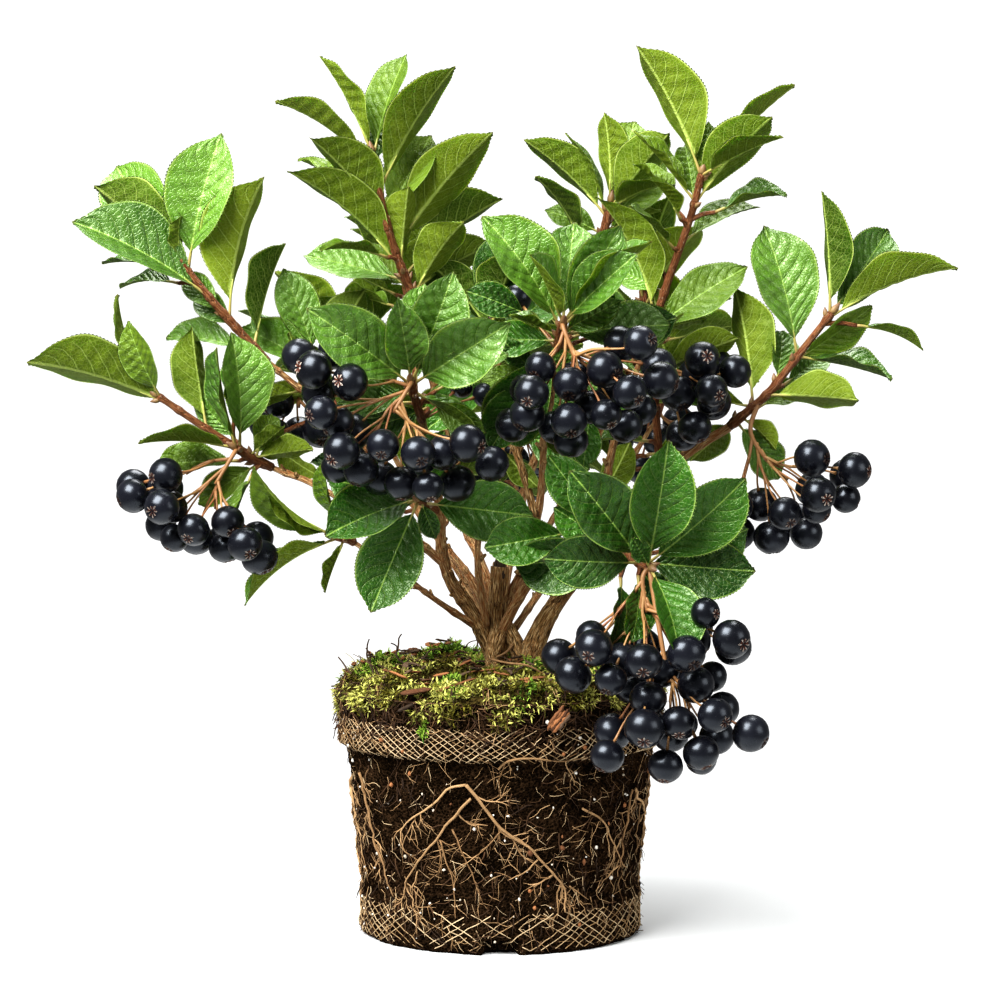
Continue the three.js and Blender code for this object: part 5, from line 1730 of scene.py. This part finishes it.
def cut_stubs():
    """The stubs of shoots that were cut back on the main limbs."""
    heap = Heap("cut_stubs", "bark", ["old_bark", "cut_wood"])
    rings = 12
    shares = np.linspace(0, 1, rings)
    for number, (foot, tip, radius) in enumerate(CUT_STUBS):
        foot, tip = np.array(foot, float), np.array(tip, float)
        line = curve([foot, (foot + tip) / 2 + [0.4, 0, 0.3], tip], rings)
        radii = radius * (1 + 0.35 * np.exp(-shares * 6) + 0.45 * swelling(shares, 0.88, 0.12))
        relief = bark_relief(0.12, 0.3, 1.5, number)
        tube(heap, line, radii, 18, "old_bark", "cut_wood", tone=0.8, relief=relief)
    heap.make()


# Root ball

def ball_places(bearings, heights, proud=0.0):
    """Places on the root ball's lumpy side, from bearings in degrees (0 in front) and heights."""
    bearings = np.radians(bearings)
    radii = np.interp(heights, BALL_HEIGHTS, BALL_RADII)
    across = np.stack([np.sin(bearings), -np.cos(bearings)], axis=-1)
    nominal = np.concatenate([across * radii[..., None], heights[..., None]], axis=-1)
    flat = nominal.reshape(-1, 3)
    relief = sum(height * rough(flat, size, seed, 2) for height, size, seed in BALL_RELIEF)
    radii = radii + relief.reshape(radii.shape) + proud - notch_depth(bearings, radii, heights)
    return np.concatenate([across * radii[..., None], heights[..., None]], axis=-1)


def notch_depth(bearings, radii, heights):
    """How far the notches in the foot go in."""
    sector = math.tau / FOOT_NOTCH["count"]
    turn = np.mod(bearings + sector / 2, sector) - sector / 2
    inside = (np.abs(turn * radii) < FOOT_NOTCH["width"] / 2) & (heights < FOOT_NOTCH["height"])
    return np.where(inside, FOOT_NOTCH["depth"], 0)


def soil_ball():
    """The ball of soil: flat underside, crumbly side and top."""
    heap = Heap("root_ball_soil", "soil", ["potting_soil"])
    heights = np.arange(0, BALL_TOP + BALL_ROW, BALL_ROW)
    bearings = np.arange(BALL_COLUMNS) * 360 / BALL_COLUMNS
    height_grid, bearing_grid = np.meshgrid(heights, bearings, indexing="ij")
    side = ball_places(bearing_grid, height_grid)
    inward = np.linspace(0.97, 0.02, BALL_CAP_ROWS)[:, None, None]
    top = side[-1:] * [1, 1, 0] * inward
    crumbs = 1.2 * rough(top.reshape(-1, 3), 6, 5).reshape(top.shape[:2])
    top[..., 2] = BALL_TOP + crumbs * (inward[..., 0] < 0.95)
    rows = np.concatenate([side[:1] * inward[::-1], side, top])
    places = np.concatenate([rows.reshape(-1, 3), [[0, 0, 0], [0, 0, BALL_TOP]]])
    caps = np.concatenate(end_fans(len(rows), BALL_COLUMNS))
    heap.add(places, [(grid_faces(len(rows), BALL_COLUMNS, True), "potting_soil"), (caps, "potting_soil")])
    heap.make("root_ball")


def wandering(rng, start, heading, length, drift):
    """A wandering line on the ball's side, as bearings and heights, from a start (bearing, height)."""
    count = max(3, int(length / ROOT_STEP))
    headings = np.radians(heading + np.cumsum(rng.normal(0, drift, count)))
    arc = np.cumsum(np.sin(headings)) * ROOT_STEP * 360 / (math.tau * BALL_RADII[4])
    drop = np.cumsum(np.cos(headings)) * ROOT_STEP
    heights = np.clip(start[1] - drop, 1.5, BALL_TOP - 2)
    return np.concatenate([[start[0]], start[0] + arc]), np.concatenate([[start[1]], heights])


def root(heap, bearings, heights, radius, finish, rng, proud=0.35):
    """A root that lies on the side of the ball, half sunk in it."""
    flat = np.stack([bearings, heights, heights * 0], axis=-1)
    lift = radius * proud + 0.25 * lumps(flat, 6, rng.integers(99))
    line = ball_places(bearings, heights, lift + radius * 0.5)
    radii = radius * np.linspace(1.0, 0.45, len(line))
    tube(heap, line, radii, 6 if radius > 0.5 else 4, finish, tone=rng.uniform(0.1, 0.9))


def branching_root(heap, rng, start, heading, length, radius):
    """A root with side roots, and theirs, each thinner and shorter."""
    bearings, heights = wandering(rng, start, heading, length, ROOT_DRIFT)
    root(heap, bearings, heights, radius, "root_tan", rng)
    if radius < THINNEST_ROOT:
        return
    for _ in range(rng.integers(2, 5)):
        knot = rng.integers(1, len(bearings) - 1)
        turn = rng.choice([-1, 1]) * rng.uniform(25, 60)
        begin = (bearings[knot], heights[knot])
        branching_root(heap, rng, begin, heading + turn, length * rng.uniform(0.3, 0.6), radius * 0.6)


def front_roots(heap):
    """The roots that show on the front, from their places across and up."""
    rng = np.random.default_rng(SEEDS["front roots"])
    for radius, points in FRONT_ROOTS:
        points = np.array([(x, 0, z) for x, z in points], float)
        line = curve(points, max(8, int(np.sum(np.linalg.norm(np.diff(points, axis=0), axis=1)) / ROOT_STEP)))
        reach = np.interp(line[:, 2], BALL_HEIGHTS, BALL_RADII)
        bearings = np.degrees(np.arcsin(np.clip(line[:, 0] / reach, -1, 1)))
        bearings = bearings + 0.8 * lumps(line, 7, 4)
        root(heap, bearings, line[:, 2], radius, "root_tan", rng, proud=0.75)
        for _ in range(int(len(line) / 4)):
            knot = rng.integers(1, len(line) - 1)
            heading = rng.uniform(-75, 75)
            begin = (bearings[knot], line[knot, 2])
            length = rng.uniform(8, 24)
            branching_root(heap, rng, begin, heading, length, radius * rng.uniform(0.4, 0.6))


def root_net(heap, low, high, pitch, slope, seed):
    """The net of thin roots that grew against the pot's wall: two sets of slanting strands."""
    rng = np.random.default_rng(seed)
    radius = np.interp((low + high) / 2, BALL_HEIGHTS, BALL_RADII)
    count = round(math.tau * radius / pitch)
    run = (high - low) * slope * 360 / (math.tau * radius)
    for side in (-1, 1):
        for i in range(count):
            shares = np.linspace(0, 1, NET_KNOTS) + rng.uniform(-0.04, 0.04)
            bearings = i * 360 / count + side * run * (shares - 0.5) + 0.35 * rng.normal(size=NET_KNOTS)
            middle = math.radians(bearings[NET_KNOTS // 2])
            thin = math.sin(3 * middle + seed) + math.sin(7 * middle) * 0.6
            in_front = abs(math.degrees(math.sin(middle / 2)) + 14) < 16 and math.cos(middle) > 0
            start, stop = sorted(rng.uniform(0, 1, 2)) if thin > 0.4 and not in_front else (0, 1)
            keep = (shares >= start - 0.05) & (shares <= stop + 0.05)
            if np.count_nonzero(keep) < 3:
                continue
            heights = np.clip(low + (high - low) * shares, low, high)[keep]
            line = ball_places(bearings[keep], heights, 0.35)
            tube(heap, line, rng.uniform(0.15, 0.23), 4, "root_cream", tone=rng.uniform(0, 1))


def rootlets(heap, count, finish, lengths, radii, heights, headings, seed, loose):
    """Many short thin roots, scattered round the ball, some standing a little off it."""
    rng = np.random.default_rng(seed)
    for _ in range(count):
        start = (rng.uniform(0, 360), rng.uniform(*heights))
        heading = rng.uniform(*headings)
        bearings, rises = wandering(rng, start, heading, rng.uniform(*lengths), ROOTLET_DRIFT)
        off = rng.uniform(0, loose) * np.linspace(0, 1, len(bearings)) ** 2
        line = ball_places(bearings, rises, off + 0.15)
        radius = rng.uniform(*radii) * np.linspace(1, 0.5, len(line))
        tube(heap, line, radius, 4, finish, tone=rng.uniform(0, 1))


def pebbles(heap, count, radii, finish, seed, heights):
    """Small irregular grains set in the side of the ball."""
    rng = np.random.default_rng(seed)
    rows, sides = 5, 7
    opening = np.linspace(0.3, math.pi - 0.3, rows)[:, None]
    turn = turns(sides)
    flat = np.sin(opening)
    ball = np.stack([flat * np.cos(turn), flat * np.sin(turn), np.cos(opening) + 0 * turn], -1)
    ball = np.concatenate([ball.reshape(-1, 3), [[0, 0, 1.0], [0, 0, -1.0]]])
    caps = np.concatenate(end_fans(rows, sides))[:, [1, 0, 2]]
    faces = [(grid_faces(rows, sides, True)[:, ::-1], finish), (caps, finish)]
    for _ in range(count):
        bearing, height = rng.uniform(0, 360), rng.uniform(*heights)
        centre = ball_places(np.array([bearing]), np.array([height]), 0.2)[0]
        grain = ball * (1 + 0.25 * lumps(ball + rng.uniform(0, 50), 0.7, seed))[:, None]
        grain = grain * rng.uniform(0.6, 1.2, 3) * rng.uniform(*radii)
        heap.add(grain + centre, faces, tone=rng.uniform(0, 1))


def ball_roots():
    """Everything that shows on the root ball's side."""
    thick = Heap("roots_thick", "soil", ROOT_FINISHES)
    front_roots(thick)
    rng = np.random.default_rng(SEEDS["back roots"])
    for bearing in np.arange(62, 300, 14.0):
        start = (bearing + rng.uniform(-6, 6), rng.uniform(50, 82))
        heading, length = rng.uniform(-35, 35), rng.uniform(40, 70)
        branching_root(thick, rng, start, heading, length, rng.uniform(0.5, 0.9))
    thick.make()
    fine = Heap("roots_fine", "soil", ROOT_FINISHES)
    for net in ROOT_NETS:
        root_net(fine, *net)
    for row in ROOTLETS:
        rootlets(fine, *row)
    fine.make()
    mat = Heap("roots_mat", "soil", ROOT_FINISHES)
    for row in MAT_ROOTLETS:
        rootlets(mat, *row)
    mat.make()
    grains = Heap("perlite", "soil", ["perlite", "chip_wood"])
    for row in GRAINS:
        pebbles(grains, *row)
    grains.make()


# Moss and litter on top

def moss_height(x, y):
    """Height of the moss over a place on the root ball, as in the source, with smaller lumps on it."""
    x, y = np.asarray(x, float), np.asarray(y, float)
    height = np.interp(np.hypot(x, y) / MOSS_RADIUS, MOSS_SHARES, MOSS_HEIGHTS)
    mounds = np.sin(x * 0.13 + 1.7) * np.cos(y * 0.11 - 0.6) + 0.6 * np.sin(x * 0.05 - y * 0.09)
    flat = np.stack([x, y, 0 * x], axis=-1).reshape(-1, 3)
    small = 1.5 * rough(flat, 11, 17, 3).reshape(x.shape)
    return BALL_TOP + height + MOSS_LUMP * mounds * (height > 3) + small


def clumps(rng):
    """The moss's cushions: places, radii, heights and shades, with bare litter left between them."""
    turn = rng.uniform(0, math.tau, CLUMP_TRIES)
    reach = MOSS_RADIUS * np.sqrt(rng.uniform(0, 1, CLUMP_TRIES))
    x, y = reach * np.sin(turn), -reach * np.cos(turn)
    flat = np.stack([x, y, 0 * x], axis=-1)
    keep = rough(flat, 15, 29, 2) > rng.uniform(-0.75, 0.55, CLUMP_TRIES)
    for bare_x, bare_y, radius in BARE_PLACES:
        keep &= np.hypot(x - bare_x, y - bare_y) > radius
    flat = flat[keep]
    shade = 0.8 * rough(flat, 22, 53, 2) + rng.normal(0, 0.25, len(flat))
    return flat, rng.uniform(2.4, 6.8, len(flat)), rng.uniform(0.5, 4.0, len(flat)), shade


def moss_bed():
    """The felt under the moss, over the soil."""
    heap = Heap("moss_bed", "moss", ["moss_felt"])
    columns, rows, sunk = 200, 70, 1.5
    turn = turns(columns)
    reach = np.concatenate([np.linspace(0.2, MOSS_RADIUS * 1.02, rows), [MOSS_RADIUS * 1.035]])[:, None]
    x, y = reach * np.sin(turn), -reach * np.cos(turn)
    places = np.stack([x, y, moss_height(x, y) - sunk], axis=-1)
    heap.add(places, [(grid_faces(len(reach), columns, True)[:, ::-1], "moss_felt")])
    heap.make("moss_cap")


def blades(heap, feet, ways, lengths, widths, finish, rng, tones=None):
    """Many tiny pointed blades, each of two faces: feet, directions, lengths and widths as rows."""
    sides = unit_rows(np.cross(ways, rng.normal(size=ways.shape)))
    middle = feet + ways * (lengths * 0.45)[:, None]
    half = sides * (widths / 2)[:, None]
    droop = ways * lengths[:, None] - [0, 0, 1] * (lengths * rng.uniform(0, 0.3, len(feet)))[:, None]
    corners = np.stack([feet, middle - half, feet + droop, middle + half], axis=1)
    faces = np.arange(len(feet) * 4).reshape(-1, 4)
    tones = np.repeat(rng.uniform(0, 1, len(feet)) if tones is None else tones, 4)
    heap.add(corners.reshape(-1, 3), [(faces, finish)], tone=tones)


def shaded_by_stool(x, y):
    """How much darker the moss is made in front of the stool's foot, among dark litter: painted shade of the
    stool.
    """
    away = (x - SHADE_PLACE[0]) ** 2 + (y - SHADE_PLACE[1]) ** 2
    return STOOL_SHADE * math.exp(-away / (2 * SHADE_REACH**2))


def moss_finish(shade):
    """Moss whose shade value is low, at random or from the painted shade in front of the stool, is olive;
    otherwise it is yellow, with patches of clear green.
    """
    if shade < -0.42:
        return "moss_olive"
    return "moss_yellow" if shade < 0.4 else "moss_green"


def cushion(heap, feet, outward, shade, rng):
    """The shoots of one cushion: each a star of pointed leaves round its own axis."""
    feet = np.repeat(feet, TUFT_BLADES, axis=0)
    axes = np.repeat(unit_rows(outward + rng.normal(0, 0.25, outward.shape)), TUFT_BLADES, axis=0)
    ways = unit_rows(axes * rng.uniform(0.1, 1.1, len(axes))[:, None] + rng.normal(0, 0.62, axes.shape))
    lengths = rng.uniform(1.5, 3.9, len(feet))
    raised = rng.uniform(-1.4, 0.8, len(axes))
    feet = feet + axes * raised[:, None]
    # Painted shade: shoots set deeper in the cushion get a higher tone, which the moss finishes show darker.
    tones = np.clip(0.45 - 0.5 * raised + rng.normal(0, 0.18, len(axes)), 0, 1)
    blades(heap, feet, ways, lengths, lengths * rng.uniform(0.16, 0.3), moss_finish(shade), rng, tones)


def moss_tufts():
    """Cushions of moss on top of the ball, with dark gaps between them."""
    rng = np.random.default_rng(SEEDS["tufts"])
    heap = Heap("moss_tufts", "moss", MOSS_FINISHES)
    for centre, radius, height, shade in zip(*clumps(rng)):
        count = int(radius**2 * TUFTS_THICK)
        turn = rng.uniform(0, math.tau, count)
        away = np.sqrt(rng.uniform(0, 1, count))
        x, y = centre[0] + radius * away * np.sin(turn), centre[1] + radius * away * np.cos(turn)
        inside = np.hypot(x, y) < MOSS_RADIUS * 1.02
        x, y, away, turn = x[inside], y[inside], away[inside], turn[inside]
        rise = height * (1 - away**2)
        feet = np.stack([x, y, moss_height(x, y) - 1.0 + rise], axis=-1)
        outward = np.stack([away * np.sin(turn), away * np.cos(turn), 0 * x + 1.1], axis=-1)
        if len(feet):
            # Painted shade: cushions in front of the stool's foot are made darker.
            shade = shade - shaded_by_stool(centre[0], centre[1])
            cushion(heap, feet, outward, shade + rng.normal(0, 0.1), rng)
    heap.make()


def hanging_moss():
    """Moss that grows over the edge and down the upper band, in patches, and up the foot of the stool."""
    rng = np.random.default_rng(SEEDS["hanging moss"])
    heap = Heap("moss_hanging", "moss", MOSS_FINISHES)
    for bearing in rng.uniform(0, 360, EDGE_CLUMPS):
        patch = lumps(np.array([[bearing * 1.2, 0, 0]]), 16, 61)[0]
        depth = rng.uniform(0, 1) ** 1.2 * np.clip(7 + 10 * patch, 1.5, 15)
        count = int(rng.uniform(12, 34))
        bearings = bearing + rng.normal(0, 1.9, count)
        heights = np.minimum(BALL_TOP - depth + rng.normal(0, 2.0, count), BALL_TOP + 1)
        feet = ball_places(bearings, heights, 0.2)
        outward = unit_rows(feet * [1, 1, 0]) + [0, 0, 0.3]
        cushion(heap, feet, outward, rng.normal(0, 0.4) - 0.05, rng)
    turn = rng.uniform(0.6, 2.2, STOOL_BLADES)
    height = rng.uniform(0, 1, STOOL_BLADES) ** 1.8 * 11
    reach = 6.0 + 3 * np.exp(-height / 4)
    feet = np.stack([reach * np.sin(turn), -reach * np.cos(turn), BALL_TOP + 4 + height], axis=-1)
    way = unit_rows(feet * [1, 1, 0] * 0.12 + rng.normal(size=feet.shape) * 0.5 + [0, 0, 0.5])
    lengths, widths = rng.uniform(1, 2.6, STOOL_BLADES), rng.uniform(0.3, 0.5, STOOL_BLADES)
    blades(heap, feet, way, lengths, widths, "moss_green", rng)
    heap.make()


def splinter(heap, centre, way, length, width, thickness, finish, seed):
    """A chip of bark: a flat piece with split, uneven ends."""
    rng = np.random.default_rng(seed)
    shares = np.linspace(-0.5, 0.5, 10)
    line = np.asarray(centre, float) + np.multiply.outer(shares * length, unit(np.asarray(way, float)))
    line = line + rng.normal(0, 0.12, line.shape)
    radii = width / 2 * np.clip(1.12 - np.abs(shares * 2) ** 5, 0.25, 1) * rng.uniform(0.85, 1.1, 10)
    tube(heap, line, radii, 12, finish, tone=rng.uniform(0, 1), relief=bark_relief(0.25, 1, 1.6, seed))
    flat = unit(np.cross(way, [rng.uniform(-0.4, 0.4), rng.uniform(-0.4, 0.4), 1]))
    up = unit(np.cross(flat, way))
    chip = heap.places[-1]
    heap.places[-1] = chip + np.multiply.outer((chip - centre) @ up * (thickness / width - 1), up)


def place_chip(heap, x, y, length, width, heading, tilt, finish, seed):
    lift = 1.0 + 2.2 * abs(math.sin(seed * 1.7))
    centre = [x, y, float(moss_height(x, y)) + lift]
    splinter(heap, centre, way_at(heading, tilt), length, width, max(0.9, width * 0.34), finish, seed)


def twiglet(heap, x, y, length, heading, rise, radius, finish, rng):
    """A loose bit of twig or straw that lies on the moss or sticks up out of it."""
    ways = unit_rows(way_at(heading, rise) + rng.normal(0, 0.3, (6, 3)))
    steps = np.cumsum(ways, axis=0) * length / 6
    line = np.array([x, y, float(moss_height(x, y)) - 0.4]) + np.concatenate([[[0, 0, 0]], steps])
    tube(heap, curve(line, 12), radius * np.linspace(1, 0.5, 12), 5, finish, tone=rng.uniform(0, 1))


def loose_place(rng, widest, least):
    """A random place on the ball's top, not too near its middle."""
    turn, reach = rng.uniform(0, math.tau), widest * math.sqrt(rng.uniform(least, 1))
    return reach * math.sin(turn), -reach * math.cos(turn)


def bark_chips(rng):
    """Chips of bark on the moss, the split one at the front right, and one at the left of the rim."""
    chips = Heap("bark_chips", "bark", ["chip_wood", "dead_twig"])
    for number, chip in enumerate(CHIPS):
        place_chip(chips, *chip, "chip_wood", number)
    for number in range(LOOSE_CHIPS):
        place = loose_place(rng, 68, 0.03)
        finish = "chip_wood" if rng.random() < 0.3 else "dead_twig"
        size = rng.uniform(3, 9), rng.uniform(1.2, 3)
        place_chip(chips, *place, *size, rng.uniform(0, 360), rng.uniform(-25, 25), finish, 100 + number)
    return chips


def split_chip(chips, rng):
    """The chip of split wood that stands in the upper band."""
    way = np.array(SPLIT_CHIP["way"])
    count = SPLIT_CHIP["slivers"]
    for number in range(count):
        centre = np.array(SPLIT_CHIP["place"]) + (number - (count - 1) / 2) * np.array(SPLIT_CHIP["step"])
        centre = centre + way * rng.uniform(-1.6, 1.6)
        finish = "dead_twig" if number == count - 1 else "chip_wood"
        splinter(chips, centre, way, rng.uniform(9, 13), 1.7, 1.7, finish, 200 + number)


def litter():
    """Bark chips, dead twiglets and straw in the moss, the looped root and the stool's feet."""
    rng = np.random.default_rng(SEEDS["litter"])
    chips = bark_chips(rng)
    twiglets = Heap("litter_twigs", "bark", ["dead_twig", "straw", "root_tan"])
    for row in TWIGLETS:
        twiglet(twiglets, *row, 0.6, "dead_twig", rng)
    for _ in range(LOOSE_TWIGLETS):
        place = loose_place(rng, 69, 0.02)
        finish, radius = LOOSE_KINDS[rng.integers(len(LOOSE_KINDS))]
        length, heading, rise = rng.uniform(5, 15), rng.uniform(0, 360), rng.uniform(-5, 35)
        twiglet(twiglets, *place, length, heading, rise, radius, finish, rng)
    split_chip(chips, rng)
    splinter(chips, (-40, -63, 108), (0.8, 0.5, 0.3), 9, 4, 1.8, "dead_twig", 8)
    chips.make()
    tube(twiglets, curve(LOOPED_ROOT, 50), np.linspace(0.65, 0.45, 50), 9, "root_tan", tone=0.8)
    foot = Heap("stool_root", "bark", ["old_bark"])
    relief = bark_relief(0.3, 0.25, 1.8, 5)
    for path, radii, rings in STOOL_FEET:
        line = curve(path, rings)
        tube(foot, line, np.linspace(*radii, rings), 26, "old_bark", tone=1.0, relief=relief)
    foot.make()
    twiglets.make()


# Floor, light and camera

def camera():
    lens = bpy.data.cameras.new("camera")
    lens.lens = CAMERA_LENS
    lens.sensor_width = SENSOR_WIDTH
    lens.clip_start, lens.clip_end = 0.05, 50
    eye = bpy.data.objects.new("camera", lens)
    eye.location = [value * MM for value in CAMERA_PLACE]
    eye.rotation_euler = (math.radians(90 - CAMERA_PITCH), 0, 0)
    bpy.context.scene.collection.objects.link(eye)
    bpy.context.scene.camera = eye


def floor():
    """A wide white floor whose far parts go over into the white of the background."""
    mesh = bpy.data.meshes.new("floor")
    turn = turns(FLOOR_SIDES)
    rim = np.stack([np.cos(turn), np.sin(turn), 0 * turn], axis=-1) * FLOOR_RADIUS
    faces = [(0, i + 1, (i + 1) % FLOOR_SIDES + 1) for i in range(FLOOR_SIDES)]
    mesh.from_pydata([(0, 0, 0), *rim.tolist()], [], faces)
    paper = colour((0.62, 0.63, 0.63))
    tree, shader = new_finish("floor_paper", Roughness=0.9, Base_Color=paper, Specular_IOR_Level=0.15)
    away = add_node(tree, "VectorMath", {0: place_of(tree)}, operation="LENGTH").outputs["Value"]
    seen = add_node(tree, "LightPath").outputs["Is Camera Ray"]
    strength = times_plus(tree, seen, 1 - FLOOR_GLOW, FLOOR_GLOW)
    glow = add_node(tree, "Emission", {"Color": colour((1, 1, 1)), "Strength": strength}).outputs[0]
    blend = {0: stepped(tree, away, *FLOOR_FADE), 1: shader.outputs[0], 2: glow}
    mixed_light = add_node(tree, "MixShader", blend).outputs[0]
    set_inputs(tree, tree.nodes["Material Output"], {"Surface": mixed_light})
    mesh.materials.append(finish_of("floor_paper"))
    sheet = bpy.data.objects.new("floor", mesh)
    bpy.context.scene.collection.objects.link(sheet)


def soft_light(name, place, aim, size, power):
    """A square soft box that looks at its aim."""
    lamp = bpy.data.lights.new(name, "AREA")
    lamp.size = size
    lamp.energy = power
    box = bpy.data.objects.new(name, lamp)
    box.location = place
    way = np.array(aim, float) - place
    box.rotation_euler = mathutils.Vector(way).to_track_quat("-Z", "Y").to_euler()
    bpy.context.scene.collection.objects.link(box)


def studio():
    """A white room, a large soft box from the upper left, a fill from the right and one from behind."""
    world = bpy.data.worlds.new("white_room")
    bpy.context.scene.world = world
    world.use_nodes = True
    tree = world.node_tree
    room = tree.nodes["Background"]
    set_inputs(tree, room, {"Color": colour((1, 1, 1)), "Strength": ROOM_LIGHT})
    seen = add_node(tree, "Background", {"Color": colour((1, 1, 1)), "Strength": 1.0})
    path = add_node(tree, "LightPath")
    blend = {0: path.outputs["Is Camera Ray"], 1: room.outputs[0], 2: seen.outputs[0]}
    mixed_light = add_node(tree, "MixShader", blend).outputs[0]
    set_inputs(tree, tree.nodes["World Output"], {"Surface": mixed_light})
    for light in LIGHTS:
        soft_light(*light)
    bpy.context.scene.view_settings.view_transform = "Standard"
    bpy.context.scene.view_settings.look = "Medium High Contrast"


camera()
floor()
studio()
make_finishes()
soil_ball()
ball_roots()
moss_bed()
moss_tufts()
hanging_moss()
litter()
for number, spec in enumerate([TRUNK, *BOUGHS]):
    limb(spec, number)
cut_stubs()
berry_form = berry_shape()
crown = [mass_of_foliage(shoot, number + 1, berry_form) for number, shoot in enumerate(SHOOTS)]
leaves_on_boughs(np.concatenate(crown))
